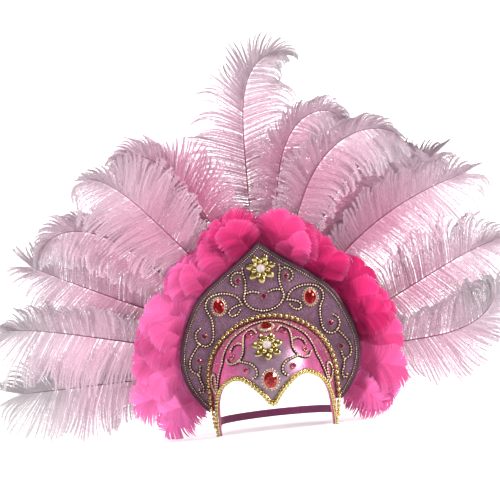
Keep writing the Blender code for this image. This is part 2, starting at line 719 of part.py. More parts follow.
def build_plume(name, row, finish):
    """One plume: a thin quill strip with a row of long barb locks on each side, lifted by turns."""
    layer = FIRST_LAYER + row[8] * PLUME_LAYER_PITCH
    stations = quill_route(row, LOCKS_A_SIDE)
    bm = bmesh.new()

    def corner(x, z, lift, share):
        depth = QUILL_SEAT + (layer - QUILL_SEAT) * ease(share / QUILL_SHARE)
        return bm.verts.new((x, depth + fan_depth(x, z) + lift, z))

    left = []
    right = []
    for share, x, z, heading in stations:
        half = QUILL_HALF_WIDTH * (1 - QUILL_TAPER * share)
        beside = (math.cos(heading), -math.sin(heading))
        left.append(corner(x - beside[0] * half, z - beside[1] * half, 0, share))
        right.append(corner(x + beside[0] * half, z + beside[1] * half, 0, share))
    for i in range(len(stations) - 1):
        bm.faces.new((left[i], left[i + 1], right[i + 1], right[i]))
    for i in range(2, len(stations) - 1):
        share, x, z, heading = stations[i]
        _, next_x, next_z, next_heading = stations[i + 1]
        mid_share = (share + stations[i + 1][0]) / 2
        pitch = math.hypot(next_x - x, next_z - z)
        turned = (next_heading - heading) / pitch
        along = ((next_x - x) / pitch, (next_z - z) / pitch)
        middle = ((x + next_x) / 2, (z + next_z) / 2)
        for edge, sign, reach in ((left, -1, row[6]), (right, 1, row[7])):
            wide = reach * vane_reach(mid_share) * VANE_WIDTH
            inside = turned * sign
            if inside > 0:
                wide = min(wide, BEND_ROOM / inside)
            lift = LOCK_LIFT * (1 if (i + (sign > 0)) % 2 else -1)
            sweep = math.radians(LOCK_SWEEP + (LOCK_SWEEP_AT_TIP - LOCK_SWEEP) * mid_share)
            wide /= math.sin(sweep)
            room = 1 - inside * wide * LOCK_ROOT_SHARE / math.sin(sweep)
            half = LOCK_SPREAD * pitch * min(room, MOST_SPREAD)
            places = []
            for part, angle, shift in (
                (LOCK_ROOT_SHARE, sweep, -half),
                (LOCK_ROOT_SHARE, sweep, half),
                (1.0, sweep - math.radians(LOCK_TIP_TURN), 0.0),
            ):
                out = math.sin(angle) * wide * part * sign
                on = math.cos(angle) * wide * part + shift
                px = middle[0] + along[0] * on + along[1] * out
                pz = middle[1] + along[1] * on - along[0] * out
                places.append(corner(px, pz, lift * part, 1.0))
            near, far, tip = places
            bm.faces.new((edge[i], near, far, edge[i + 1]))
            bm.faces.new((near, tip, far))
    made = add_bmesh(name, bm, finish)
    thicken(made, PLUME_SHEET)
    return made


def build_strap(finish):
    """The elastic: a flat band lapped inside the cap's flaps and round the back of the head."""
    lap = 2 * CLEARANCE
    middle = HEAD_HALF_WIDTH - lap - STRAP_THICKNESS / 2
    front = HEAD_HALF_DEPTH - lap - STRAP_THICKNESS / 2
    bm = bmesh.new()
    rows = []
    turns = [-STRAP_LAP_TURN + (math.pi + 2 * STRAP_LAP_TURN) * i / 18 for i in range(19)]
    for turn in turns:
        deep = STRAP_HALF_DEPTH if math.sin(turn) > 0 else front
        place = Vector((middle * math.cos(turn), deep * math.sin(turn), STRAP_LEVEL))
        normal = Vector((math.cos(turn) / middle, math.sin(turn) / deep, 0)).normalized()
        ring = []
        for out, up in ((-1, -1), (1, -1), (1, 1), (-1, 1)):
            shift = normal * out * STRAP_THICKNESS / 2 + Vector((0, 0, up * STRAP_HEIGHT / 2))
            ring.append(bm.verts.new(place + shift))
        rows.append(ring)
    for a, b in zip(rows[:-1], rows[1:]):
        for k in range(4):
            bm.faces.new((a[k], a[(k + 1) % 4], b[(k + 1) % 4], b[k]))
    bm.faces.new(rows[0])
    bm.faces.new(rows[-1])
    return add_bmesh("head_elastic", bm, finish)


def main():
    clear_scene()
    satin = material("pink_satin", (0.72, 0.16, 0.42), 0.28, 0.45)
    glitter = material("mauve_glitter_cloth", (0.24, 0.12, 0.26), 0.5, 0.3)
    gold = material("gold_plate", (0.80, 0.55, 0.22), 0.3, 1.0)
    chain = material("ball_chain", (0.80, 0.60, 0.48), 0.35, 1.0)
    red = material("red_glass", (0.55, 0.01, 0.03), 0.08, 0.0)
    pink = material("fuchsia_glass", (0.70, 0.02, 0.30), 0.08, 0.0)
    pearl = material("pearl", (0.90, 0.86, 0.80), 0.25, 0.0)
    ruff = material("goose_feather", (1.0, 0.06, 0.28), 0.6, 0.0)
    plume = material("ostrich_plume", (0.95, 0.42, 0.58), 0.7, 0.0)
    elastic = material("elastic", (0.25, 0.08, 0.18), 0.8, 0.0)
    edge = panel_edge()
    build_cap(satin)
    build_panel(edge, glitter)
    build_chains(edge, chain)
    build_arc_trim(gold)
    build_hem_trim(gold)
    build_stones(red, pink)
    for family, seat in (
        ("panel", panel_seat(0, PANEL_FLOWER_DOWN)),
        ("cap", cap_seat(0, CAP_FLOWER_DOWN)),
    ):
        build_flower(f"flower_{family}", seat, gold)
        build_pearl(f"pearl_{family}", seat, pearl)
    for side in ("left", "right"):
        build_ruff(side, edge, ruff)
    for name, row in PLUMES.items():
        build_plume(name, row, plume)
    build_strap(elastic)


main()
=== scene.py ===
"""A carnival headdress: satin cap, glitter crest panel with bead chains and stones, feather ruff and
a fan of fourteen curled ostrich plumes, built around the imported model."""

import math
from typing import NamedTuple

import bmesh
import bpy
import numpy as np
from bpy.props import FloatProperty, FloatVectorProperty, IntProperty, PointerProperty
from mathutils import Matrix, Vector


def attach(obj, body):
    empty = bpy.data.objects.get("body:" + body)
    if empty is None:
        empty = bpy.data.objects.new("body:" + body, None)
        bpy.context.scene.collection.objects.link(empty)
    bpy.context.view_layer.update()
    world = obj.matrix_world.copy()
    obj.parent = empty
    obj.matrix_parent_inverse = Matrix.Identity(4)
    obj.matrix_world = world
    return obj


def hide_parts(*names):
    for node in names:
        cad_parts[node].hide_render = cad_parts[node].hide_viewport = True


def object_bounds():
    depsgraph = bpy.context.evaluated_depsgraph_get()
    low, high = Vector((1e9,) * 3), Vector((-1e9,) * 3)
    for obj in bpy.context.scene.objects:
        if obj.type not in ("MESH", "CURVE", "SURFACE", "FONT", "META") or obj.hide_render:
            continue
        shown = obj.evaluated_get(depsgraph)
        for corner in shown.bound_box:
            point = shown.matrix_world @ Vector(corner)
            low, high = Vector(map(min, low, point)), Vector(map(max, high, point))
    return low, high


bl_info = {
    "name": "Plumed Headdress",
    "version": (1, 0, 0),
    "blender": (4, 5, 0),
    "location": "View3D > Sidebar > Headdress",
    "description": "Builds a plumed carnival headdress piece by piece",
    "category": "Object",
}

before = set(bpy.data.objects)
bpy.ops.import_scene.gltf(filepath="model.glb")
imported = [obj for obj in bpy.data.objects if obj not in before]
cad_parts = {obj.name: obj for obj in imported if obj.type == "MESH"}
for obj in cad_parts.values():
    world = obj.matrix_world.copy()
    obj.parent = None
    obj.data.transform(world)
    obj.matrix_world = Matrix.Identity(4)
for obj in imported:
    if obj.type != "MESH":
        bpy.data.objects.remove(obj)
CAD_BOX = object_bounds()
FLOOR_LEVEL = CAD_BOX[0][2] - 0.0005

# The head hollow and the cap, in metres
HEAD_HALF_WIDTH = 0.0765
HEAD_HALF_DEPTH = 0.092
HEAD_RISE = 0.071
CAP_WALL = 0.0025
CAP_DROP = 0.140
CAP_HALF_WIDTH = HEAD_HALF_WIDTH + CAP_WALL
CAP_HALF_DEPTH = HEAD_HALF_DEPTH + CAP_WALL
CAP_RISE = HEAD_RISE + CAP_WALL
CLEARANCE = 0.0003

# The crest panel
PANEL_HALF_WIDTH = 0.117
PANEL_RISE = 0.103
PANEL_DROP = 0.110
PANEL_THICKNESS = 0.003
PANEL_FRONT = CLEARANCE
EDGE_LINE_INSET = 0.0052
EDGE_STEP = 0.004
PANEL_ROLL_INSET = 0.0016
PANEL_ROLL_RADIUS = 0.0023

# The drawing's squares: across from the centre line and down from the panel's peak
PANEL_SQUARES_ACROSS = 90.0
PANEL_CROWN_SQUARE = 79.3
PANEL_SQUARES_DOWN = 164.0
CAP_SQUARES_ACROSS = 61.0
CAP_SQUARES_DOWN = 108.0
CAP_FIRST_SQUARE = 79.0

PANEL_OUTLINE = [
    (0, 0), (18.7, 14.5), (38.5, 28.7), (58.6, 43.8), (71.6, 58.5), (80.7, 76.6),
    (87.5, 94.7), (90, 112), (88.4, 127.7), (82.6, 142.5), (73, 157), (66, 164),
]
DOME_HEM = [
    (0, 159.5), (6, 152), (11, 146), (17.5, 139.5), (25, 133.7), (34, 131), (40.5, 133.5),
    (46, 137), (51, 143),
]
FLAP_COLUMNS = [
    (61, 142, 54.5, 152), (61, 152, 56, 163), (61, 163, 56.5, 172), (60.2, 173, 57, 180),
    (58.4, 187, 57, 187),
]
ARC_TAIL = [(60.6, 171.5), (59.6, 178.5)]
ARC_LIFT = 0.004
FLAP_BEAD_INSET = 0.0013
FLAP_BAND_INSET = 0.0020
HEM_LIFT = 0.0029
HEM_BAND_INSET = 0.0012

# Bead chains, right half (across, down)
HEART_SIDE = [
    (18.6, 24.8), (18.6, 29.3), (17, 37), (17.7, 45.5), (19.5, 52), (19.6, 57), (16.8, 62),
    (12, 66), (5.8, 68.2), (0, 69),
]
HEART_CURL = [(18.6, 30), (23.7, 28), (28.7, 30), (30.9, 34.5), (30.4, 39), (27, 41.5)]
HEART_TOP = [(18.6, 50), (11.7, 48.6), (5.2, 50.2)]
WAVE = [
    (23, 60), (26, 53.5), (32, 49.5), (41, 47.4), (50, 48.2), (56.5, 52), (59, 58),
    (58, 64), (55, 70), (54, 76.5), (54, 83), (55, 91), (58.5, 96.5), (64.5, 98), (70, 94.5),
    (72.4, 88.5), (71, 83), (67, 80),
]
LEAF_LOOP = [
    (23, 60.2), (29, 61.6), (34.5, 64), (36.4, 68.2), (33.5, 71), (28.5, 69.6), (25, 65.4),
]
LOWER_CURL = [
    (69.4, 95), (75, 102), (80, 110), (81, 117.5), (78.5, 122.5), (73.5, 125.5), (72, 132),
    (69.8, 138), (70, 142.5), (73, 143.4), (74.2, 140.6),
]
LOWER_BRANCH = [(73.5, 125.5), (71.6, 121.5), (71, 117.6)]
CAP_ARC = [
    (0, 80.2), (5, 80.4), (14, 82), (22, 85.6), (30.5, 90.8), (37, 96.5), (41.5, 103.4),
    (44.4, 110), (46, 116), (49.5, 125), (52.5, 135), (54.6, 145), (56.6, 156), (57.8, 168),
]
CAP_TEMPLE_LEAF = [
    (54.8, 145.4), (57.4, 141.5), (59.1, 136), (59.1, 130.5), (57.4, 126.8), (55.3, 126.6),
    (54.4, 130), (54.6, 135.5), (55.3, 140.6),
]
CAP_SCROLL = [
    (10, 90), (13.5, 86.4), (19.5, 88.4), (22.6, 92.5), (23.6, 99), (23.7, 104.5),
    (24.8, 109.5), (28.6, 114.8), (33.5, 117.3), (38.6, 117), (41, 113),
]
CAP_SPIRAL = [(23.6, 100), (29, 98.6), (34.4, 101.4), (36.4, 105.6)]
CAP_LOW_CURL = [(29.4, 115.2), (23.4, 116.8), (16.6, 119.6), (12.6, 125), (13, 130.5), (16.5, 132.6)]

# Stones, flowers and pearls
PANEL_OVAL = (46, 60)
CAP_OVALS = [("oval_stone_cap_top", 85.5, 1.0), ("oval_stone_cap_low", 135.6, 1.12)]
PANEL_ROUNDS = [(0, 54.4), (24, 36.6), (63.6, 88), (71, 112)]
CAP_ROUNDS = [(17, 91), (36, 110.6), (23, 124.5)]
PANEL_FLOWER_DOWN = 26.6
CAP_FLOWER_DOWN = 105.0
CAP_FLOWER_TILT = math.radians(8)
CAP_FLOWER_LIFT = 0.0012
OVAL_WIDTH = 0.0150
OVAL_LENGTH = 0.0190
ROUND_WIDTH = 0.0072
ROUND_CUP_WIDTH = 0.0080

# Feathers
DEPTH_WAY = np.array([0.0, 1.0, 0.0])
QUILL_STEPS = 240
BARB_STEPS = 10
HAIRS_PER_BARB = 48
HAIR_LENGTH = 0.0044
HAIR_HALF_BASE = 0.00030
PLUME_LENGTH = 0.230
VANE_WIDTH = 0.050
QUILL_SHARE = 0.16
PLUME_LAYER_PITCH = 0.0068
QUILL_SEAT = 0.0067
FIRST_LAYER = 0.0085
RUFF_MIDDLE = 0.0046
RUFF_WIDTH = 0.060
RUFF_TUCK = 0.010
RUFF_FEATHER_HALF = 0.0355
FAN_LEAN = 0.018
FAN_CURL = 0.034
FAN_INNER = 0.120
FAN_SPAN = 0.260
BEND_ROOM = 0.62

# How far the ruff reaches, as shares of its width: (place from the peak to the end, left, right)
RUFF_REACH = [
    (0.00, 0.98, 0.86), (0.10, 1.02, 1.02), (0.20, 0.95, 0.95), (0.32, 0.87, 0.83),
    (0.44, 0.97, 0.90), (0.55, 1.00, 0.97), (0.66, 0.97, 1.00), (0.76, 1.10, 1.03),
    (0.84, 1.23, 1.03), (0.92, 1.07, 1.07), (1.00, 0.87, 0.83),
]

# The ruff's rows from back to front: first place, length, depth, lift, width, share left out
RUFF_ROWS = (
    (0.0, 1.0, 0.0005, -0.001, 1.0, 0.0),
    (0.45, 0.96, 0.0002, 0.007, 1.0, 0.0),
    (0.20, 0.80, -0.0001, 0.014, 0.80, 0.35),
)

# Painted light and painted shade on the ruff from its peak to its ends, each side: it lightens the left side
# and the right side's ends, and darkens part of the right side
RUFF_PAINTED_LIGHT_AT = (0.0, 0.15, 0.45, 0.60, 0.75, 0.90, 1.0)
RUFF_PAINTED_LIGHT = {
    "left": (0.0, 0.02, 0.40, 0.42, 0.46, 0.60, 0.60),
    "right": (0.0, 0.0, -0.16, -0.12, 0.12, 0.34, 0.38),
}

# Barb width at the quill, in metres, and how much painted shade darkens the barbs, for each part of the fan
BARB_WIDTHS = {"left": (0.00106, 0.0), "centre": (0.00100, 0.24), "right": (0.00082, 0.22)}

# How far each pale plume's colours are moved towards the tips' tone
PLUME_PALE = {
    "plume_centre": 0.32, "plume_left_2": 0.20, "plume_left_3": 0.22, "plume_left_4": 0.28,
    "plume_left_5": 0.46, "plume_left_6": 0.58, "plume_right_1": 0.16, "plume_right_2": 0.20,
    "plume_right_3": 0.12, "plume_right_4": 0.14, "plume_right_5": 0.16, "plume_right_6": 0.20,
    "plume_right_7": 0.40,
}


class Plume(NamedTuple):
    """A plume's root on the drawing, headings at root and tip, late bend, length share, the shares of
    its left and right vanes, and its depth layer."""

    across: float
    down: float
    start: float
    end: float
    late: float
    length: float
    left: float
    right: float
    layer: int


PLUMES = {
    "plume_centre": Plume(-6, 12.5, 1, 104, 6.4, 1.257, 1.32, 1.16, 2),
    "plume_left_1": Plume(-19, 23, -29, -103, 4.7, 0.987, 0.96, 1.12, 1),
    "plume_left_2": Plume(-41.5, 38.6, -40, -80, 7.0, 0.965, 1.24, 1.12, 0),
    "plume_left_3": Plume(-63, 58.6, -45, -148, 4.0, 1.087, 0.84, 1.04, 1),
    "plume_left_4": Plume(-72, 75.5, -67, -62, 1.0, 0.983, 0.92, 0.92, 2),
    "plume_left_5": Plume(-82, 100, -76, -88, 6.0, 1.039, 1.24, 0.72, 0),
    "plume_left_6": Plume(-82, 123, -92, -90, 1.0, 0.970, 1.12, 1.00, 2),
    "plume_right_1": Plume(14, 20, 8, 176, 4.1, 1.139, 0.84, 0.88, 1),
    "plume_right_2": Plume(24, 29, 18, 118, 2.6, 1.122, 0.92, 0.96, 0),
    "plume_right_3": Plume(38.5, 36.3, 27, 96, 2.6, 1.000, 0.88, 0.96, 2),
    "plume_right_4": Plume(46.5, 43, 36, 66, 1.0, 1.009, 0.76, 0.80, 3),
    "plume_right_5": Plume(55, 49.5, 40, 77, 1.0, 1.043, 0.88, 1.12, 0),
    "plume_right_6": Plume(80, 93, 64, 78, 6.0, 0.965, 1.02, 1.00, 1),
    "plume_right_7": Plume(83, 115, 89, 14, 4.2, 0.909, 0.88, 1.24, 0),
}

# The stage
OBJECT_MIDDLE = Vector((0, 0, 0.06))
BACKDROP_MIDDLE = Vector((0, 5.6, 0.4))
CAMERA_AIM = Vector((-0.0114, 0, 0.094))
CAMERA_AZIMUTH = math.radians(2)
CAMERA_ELEVATION = math.radians(-1.5)
CAMERA_ROLL = math.radians(6.25)
CAMERA_DISTANCE = 2.9
CAMERA_LENS = 160.6


class HeaddressSizes(bpy.types.PropertyGroup):
    """The sizes that a user would change"""

    chain_ball: FloatProperty(
        name="Chain ball", description="Radius of one ball of the fine chains",
        default=0.00138, subtype="DISTANCE",
    )
    chain_pitch: FloatProperty(
        name="Chain pitch", description="Distance from one ball of the fine chains to the next",
        default=0.0036, subtype="DISTANCE",
    )
    arc_bead: FloatProperty(
        name="Arc bead", description="Radius of the large gold beads round the cap",
        default=0.0032, subtype="DISTANCE",
    )
    hem_bead: FloatProperty(
        name="Hem bead", description="Radius of the gold beads along the hem",
        default=0.0022, subtype="DISTANCE",
    )
    flower: FloatProperty(
        name="Flower", description="Radius of a gold flower", default=0.0205, subtype="DISTANCE",
    )
    pearl: FloatProperty(
        name="Pearl", description="Radius of a pearl", default=0.0058, subtype="DISTANCE",
    )
    plume_barbs: IntProperty(
        name="Plume barbs", description="Barbs on each side of one plume", default=380, min=20,
    )
    ruff_feathers: IntProperty(
        name="Ruff feathers", description="Feathers in the long row on each side of the ruff",
        default=7, min=3,
    )


def colour_property(name, description, default):
    """A colour that the panel shows."""
    return FloatVectorProperty(
        name=name, description=description, default=default, subtype="COLOR", size=3, min=0, max=1,
    )


class HeaddressColours(bpy.types.PropertyGroup):
    """The colours that a user would change"""

    satin: colour_property("Satin", "The cap's metallic satin", (0.58, 0.10, 0.27))
    # The satin's mauve middle is painted reflection, not a second cloth.
    satin_mauve_reflection: colour_property("Satin, mauve part", "The satin at the middle", (0.38, 0.22, 0.31))
    cloth: colour_property("Glitter cloth", "The crest panel's mauve cloth", (0.186, 0.085, 0.138))
    piping: colour_property("Piping", "The rolled edge of the panel", (0.090, 0.032, 0.055))
    gold: colour_property("Gold", "Flowers, large beads and braid", (0.74, 0.60, 0.25))
    chain: colour_property("Ball chain", "The fine ball chains", (0.90, 0.71, 0.49))
    # The dark chain tape is partly the thread and partly painted shadow round the balls.
    wire: colour_property("Chain tape", "The dark tape under the balls", (0.045, 0.018, 0.022))
    red: colour_property("Red stones", "The oval stones", (0.34, 0.003, 0.006))
    pink: colour_property("Pink stones", "The cap's round stones", (0.55, 0.015, 0.22))
    wine: colour_property("Wine stones", "The panel's round stones", (0.26, 0.006, 0.105))
    pearl: colour_property("Pearl", "The pearls", (0.52, 0.475, 0.455))
    ruff: colour_property("Ruff", "The goose feathers", (0.86, 0.028, 0.19))
    # The ruff's pale colour also carries the painted light on its lit parts.
    ruff_pale: colour_property("Ruff, pale part", "The goose feathers' thin edges", (1.0, 0.24, 0.60))
    plume: colour_property("Plume", "The ostrich plumes near the ruff", (0.74, 0.24, 0.40))
    plume_middle: colour_property("Plume, middle", "The plumes halfway out", (0.93, 0.62, 0.76))
    plume_pale: colour_property("Plume tips", "The ends of the barbs", (0.70, 0.64, 0.67))
    quill: colour_property("Quill", "The dark quills", (0.22, 0.045, 0.085))
    elastic: colour_property("Elastic", "The band behind the head", (0.30, 0.07, 0.18))


def sizes():
    """The scene's sizes."""
    return bpy.context.scene.headdress_sizes


def colours():
    """The scene's colours."""
    return bpy.context.scene.headdress_colours


def new_material(name):
    """A node material with its tree, its shader and the object coordinates."""
    made = bpy.data.materials.new(name)
    made.use_nodes = True
    tree = made.node_tree
    coords = tree.nodes.new("ShaderNodeTexCoord").outputs["Object"]
    return made, tree, tree.nodes["Principled BSDF"], coords


def add_node(tree, kind, **values):
    """A new node with some of its settings."""
    node = tree.nodes.new(kind)
    for key, value in values.items():
        setattr(node, key, value)
    return node


def ramp(tree, source, stops):
    """A colour ramp on a socket: stops are (place, colour)."""
    node = add_node(tree, "ShaderNodeValToRGB")
    elements = node.color_ramp.elements
    while len(elements) < len(stops):
        elements.new(0.5)
    for element, (place, colour) in zip(elements, stops):
        element.position = place
        element.color = (*colour, 1) if len(colour) == 3 else (colour[0],) * 3 + (1,)
    tree.links.new(source, node.inputs["Fac"])
    return node.outputs["Color"]


def math_node(tree, operation, *values):
    """A Math node whose inputs are each a socket or a number."""
    node = add_node(tree, "ShaderNodeMath", operation=operation)
    for socket, value in zip(node.inputs, values):
        if isinstance(value, bpy.types.NodeSocket):
            tree.links.new(value, socket)
        else:
            socket.default_value = value
    return node.outputs[0]


def drive(tree, shader, socket, source, stops):
    """Drives one socket of the shader by a colour ramp."""
    tree.links.new(ramp(tree, source, stops), shader.inputs[socket])


def noise(tree, vector, scale, detail=3.0):
    """Noise on a vector, as a value."""
    node = add_node(tree, "ShaderNodeTexNoise")
    node.inputs["Scale"].default_value = scale
    node.inputs["Detail"].default_value = detail
    tree.links.new(vector, node.inputs["Vector"])
    return node.outputs["Fac"]


def ribs(tree, vector, scale, distortion=0.0):
    """Bands across the object's height."""
    node = add_node(tree, "ShaderNodeTexWave", wave_type="BANDS", bands_direction="Z")
    node.inputs["Scale"].default_value = scale
    node.inputs["Distortion"].default_value = distortion
    tree.links.new(vector, node.inputs["Vector"])
    return node.outputs["Fac"]


def mix_colour(tree, fac, a, b):
    """A mix of two colours, each a socket or a tuple."""
    node = add_node(tree, "ShaderNodeMix", data_type="RGBA")
    for socket, value in ((node.inputs[0], fac), (node.inputs[6], a), (node.inputs[7], b)):
        if isinstance(value, bpy.types.NodeSocket):
            tree.links.new(value, socket)
        else:
            socket.default_value = (*value, 1) if isinstance(value, tuple) else value
    return node.outputs[2]


def multiplied(tree, base, shade):
    """One colour socket times another."""
    node = add_node(tree, "ShaderNodeMix", data_type="RGBA", blend_type="MULTIPLY")
    node.inputs[0].default_value = 1.0
    tree.links.new(base, node.inputs[6])
    tree.links.new(shade, node.inputs[7])
    return node.outputs[2]


def bump(tree, height, strength, distance, shader):
    """Gives the shader a bump from a height."""
    node = add_node(tree, "ShaderNodeBump")
    node.inputs["Strength"].default_value = strength
    node.inputs["Distance"].default_value = distance
    tree.links.new(height, node.inputs["Height"])
    tree.links.new(node.outputs["Normal"], shader.inputs["Normal"])


def attribute(tree, name):
    """A value that the mesh holds for each point."""
    return add_node(tree, "ShaderNodeAttribute", attribute_name=name).outputs["Fac"]


def darker(colour, share):
    """A colour times a share."""
    return tuple(c * share for c in colour)


def metal_material(name, colour, smoothest=0.16, roughest=0.34, metallic=1.0):
    """Plated metal with small tone and polish changes and fine dents."""
    made, tree, shader, coords = new_material(name)
    grain = noise(tree, coords, 260)
    tones = [(0.3, darker(colour, 0.72)), (0.62, colour), (0.8, darker(colour, 1.15))]
    drive(tree, shader, "Base Color", grain, tones)
    polish = noise(tree, coords, 104)
    drive(tree, shader, "Roughness", polish, [(0.3, (smoothest,)), (0.7, (roughest,))])
    shader.inputs["Metallic"].default_value = metallic
    bump(tree, grain, 0.12, 0.0004, shader)
    return made


def satin_material():
    """Metallic satin: pink, with a mauve middle that is painted reflection, fine weave threads, and soft
    cloth ripples with painted shade in their low parts.
    """
    tones = colours()
    made, tree, shader, coords = new_material("pink_satin")
    split = add_node(tree, "ShaderNodeSeparateXYZ")
    tree.links.new(coords, split.inputs["Vector"])
    across = math_node(tree, "ABSOLUTE", split.outputs["X"])
    raised = math_node(tree, "MULTIPLY_ADD", split.outputs["Z"], 22.0, 0.80)
    crown = math_node(tree, "MAXIMUM", raised, 0.0)
    away = math_node(tree, "MULTIPLY_ADD", across, 16.0, crown)
    # Painted reflection: the lower middle is painted mauve and the top and sides pink, for the metallic
    # satin's changing sheen over the dome.
    reflection_zone = ramp(tree, away, [(0.30, (0.0,)), (0.72, (1.0,))])
    base = mix_colour(tree, reflection_zone, tuple(tones.satin_mauve_reflection), tuple(tones.satin))
    ripples = noise(tree, coords, 28, 2.0)
    # Painted shade: the ripples' low parts are darker.
    shade = ramp(tree, ripples, [(0.35, (0.80,)), (0.65, (1.0,))])
    tree.links.new(multiplied(tree, base, shade), shader.inputs["Base Color"])
    threads = ribs(tree, coords, 420, 1.5)
    height = math_node(tree, "MULTIPLY_ADD", threads, 0.12, ripples)
    bump(tree, height, 0.25, 0.0025, shader)
    drive(tree, shader, "Roughness", noise(tree, coords, 90), [(0.3, (0.22,)), (0.7, (0.34,))])
    shader.inputs["Metallic"].default_value = 0.40
    shader.inputs["Coat Weight"].default_value = 0.9
    shader.inputs["Coat Roughness"].default_value = 0.22
    shader.inputs["Coat IOR"].default_value = 1.8
    return made


def glitter_material(name, colour, speck=0.5):
    """Cloth covered in fine glitter: each flake has its own tone, polish and tilt."""
    made, tree, shader, coords = new_material(name)
    flakes = add_node(tree, "ShaderNodeTexVoronoi")
    flakes.inputs["Scale"].default_value = 2200
    tree.links.new(coords, flakes.inputs["Vector"])
    value = add_node(tree, "ShaderNodeSeparateColor")
    tree.links.new(flakes.outputs["Color"], value.inputs["Color"])
    tone = ramp(tree, value.outputs["Red"], [
        (0.0, darker(colour, 0.62)), (0.5, colour), (0.88, darker(colour, 1.25)),
        (0.97, tuple(min(1.0, c * 1.8 + speck * 0.4) for c in colour)),
    ])
    clouds = noise(tree, coords, 60, 4.0)
    shade = ramp(tree, clouds, [(0.3, (0.78, 0.78, 0.80)), (0.7, (1.1, 1.06, 1.1))])
    tree.links.new(multiplied(tree, tone, shade), shader.inputs["Base Color"])
    drive(tree, shader, "Roughness", value.outputs["Green"], [(0.2, (0.62,)), (0.95, (0.25,))])
    drive(tree, shader, "Metallic", value.outputs["Blue"], [(0.6, (0.05,)), (0.95, (0.5,))])
    bump(tree, value.outputs["Green"], 0.3, 0.0002, shader)
    return made


def stone_material(name, colour):
    """Foil-backed cut glass: deep colour and a clear hard top, with noise patches painted darker and
    brighter as painted shade in the facets and painted glints.
    """
    made, tree, shader, coords = new_material(name)
    # Painted glints and painted shade: the noise paints bright and dark patches on the glass.
    depth = noise(tree, coords, 420, 2.0)
    bright = tuple(min(1.0, c * 2.4 + 0.02) for c in colour)
    tones = [(0.32, darker(colour, 0.35)), (0.55, colour), (0.72, bright)]
    drive(tree, shader, "Base Color", depth, tones)
    shader.inputs["Metallic"].default_value = 0.55
    drive(tree, shader, "Roughness", depth, [(0.3, (0.05,)), (0.8, (0.12,))])
    shader.inputs["Coat Weight"].default_value = 1.0
    shader.inputs["Coat Roughness"].default_value = 0.03
    return made


def pearl_material():
    """Pearl: a rosy veil under a soft coat."""
    made, tree, shader, coords = new_material("pearl")
    veil = noise(tree, coords, 160, 2.0)
    base = tuple(colours().pearl)
    rosy = (base[0], base[1] * 0.86, base[2] * 0.90)
    drive(tree, shader, "Base Color", veil, [(0.35, rosy), (0.65, base)])
    drive(tree, shader, "Roughness", veil, [(0.3, (0.16,)), (0.7, (0.26,))])
    shader.inputs["Coat Weight"].default_value = 0.8
    shader.inputs["Coat Roughness"].default_value = 0.08
    shader.inputs["Subsurface Weight"].default_value = 0.1
    return made


def feather_material(name, tones, tone_and_shade_range):
    """Barbs coloured by two attributes of the mesh: how far out they are, and each one's own tone, into
    which painted light and painted shade are mixed.
    """
    made, tree, shader, coords = new_material(name)
    out = attribute(tree, "out")
    own = attribute(tree, "own")
    base = ramp(tree, out, [(i / (len(tones) - 1), tuple(tone)) for i, tone in enumerate(tones)])
    # The own attribute carries painted light and painted shade along with a random tone, and it darkens the
    # barbs.
    shade = ramp(tree, own, [(0.0, (1 - 2 * tone_and_shade_range,)), (0.5, (1 - tone_and_shade_range,)), (1.0, (1.0,))])
    down = ramp(tree, noise(tree, coords, 900, 2.0), [(0.3, (0.84,)), (0.7, (1.0,))])
    tone = multiplied(tree, multiplied(tree, base, shade), down)
    tree.links.new(tone, shader.inputs["Base Color"])
    drive(tree, shader, "Roughness", noise(tree, coords, 300), [(0.3, (0.68,)), (0.7, (0.85,))])
    shader.inputs["Sheen Weight"].default_value = 0.05
    shader.inputs["Specular IOR Level"].default_value = 0.08
    return made


def quill_material():
    """Horn of the quills, uneven in tone and polish."""
    made, tree, shader, coords = new_material("quill")
    base = tuple(colours().quill)
    tones = [(0.3, darker(base, 0.7)), (0.7, darker(base, 1.3))]
    drive(tree, shader, "Base Color", noise(tree, coords, 120), tones)
    drive(tree, shader, "Roughness", noise(tree, coords, 400), [(0.3, (0.35,)), (0.7, (0.5,))])
    return made


def elastic_material():
    """Flat woven elastic: ribs along the band and short cross threads."""
    made, tree, shader, coords = new_material("elastic")
    cross = noise(tree, coords, 900, 1.0)
    weave = math_node(tree, "MULTIPLY", ribs(tree, coords, 260), cross)
    base = tuple(colours().elastic)
    tones = [(0.1, darker(base, 0.6)), (0.6, darker(base, 1.3))]
    drive(tree, shader, "Base Color", weave, tones)
    bump(tree, weave, 0.6, 0.0005, shader)
    drive(tree, shader, "Roughness", cross, [(0.3, (0.75,)), (0.7, (0.9,))])
    return made


FINISHES = {
    "satin": satin_material,
    "cloth": lambda: glitter_material("mauve_glitter_cloth", tuple(colours().cloth)),
    "piping": lambda: glitter_material("piping_cloth", tuple(colours().piping), 0.15),
    "gold": lambda: metal_material("gold_plate", tuple(colours().gold)),
    "chain": lambda: metal_material("ball_chain", tuple(colours().chain), 0.22, 0.38, 0.75),
    "wire": lambda: metal_material("chain_tape_and_shadow", tuple(colours().wire), 0.4, 0.6),
    "red": lambda: stone_material("red_glass", tuple(colours().red)),
    "pink": lambda: stone_material("fuchsia_glass", tuple(colours().pink)),
    "wine": lambda: stone_material("wine_glass", tuple(colours().wine)),
    "pearl": pearl_material,
    "ruff": lambda: feather_material("goose_feather", [colours().ruff, colours().ruff_pale], 0.37),
    "plume": lambda: feather_material(
        "ostrich_plume", [colours().plume, colours().plume_middle, colours().plume_pale], 0.19
    ),
    "quill": quill_material,
    "elastic": elastic_material,
}
made_finishes = {}


def finish(key):
    """The material of a finish, made when it is first asked for."""
    if key not in made_finishes:
        made_finishes[key] = FINISHES[key]()
    return made_finishes[key]


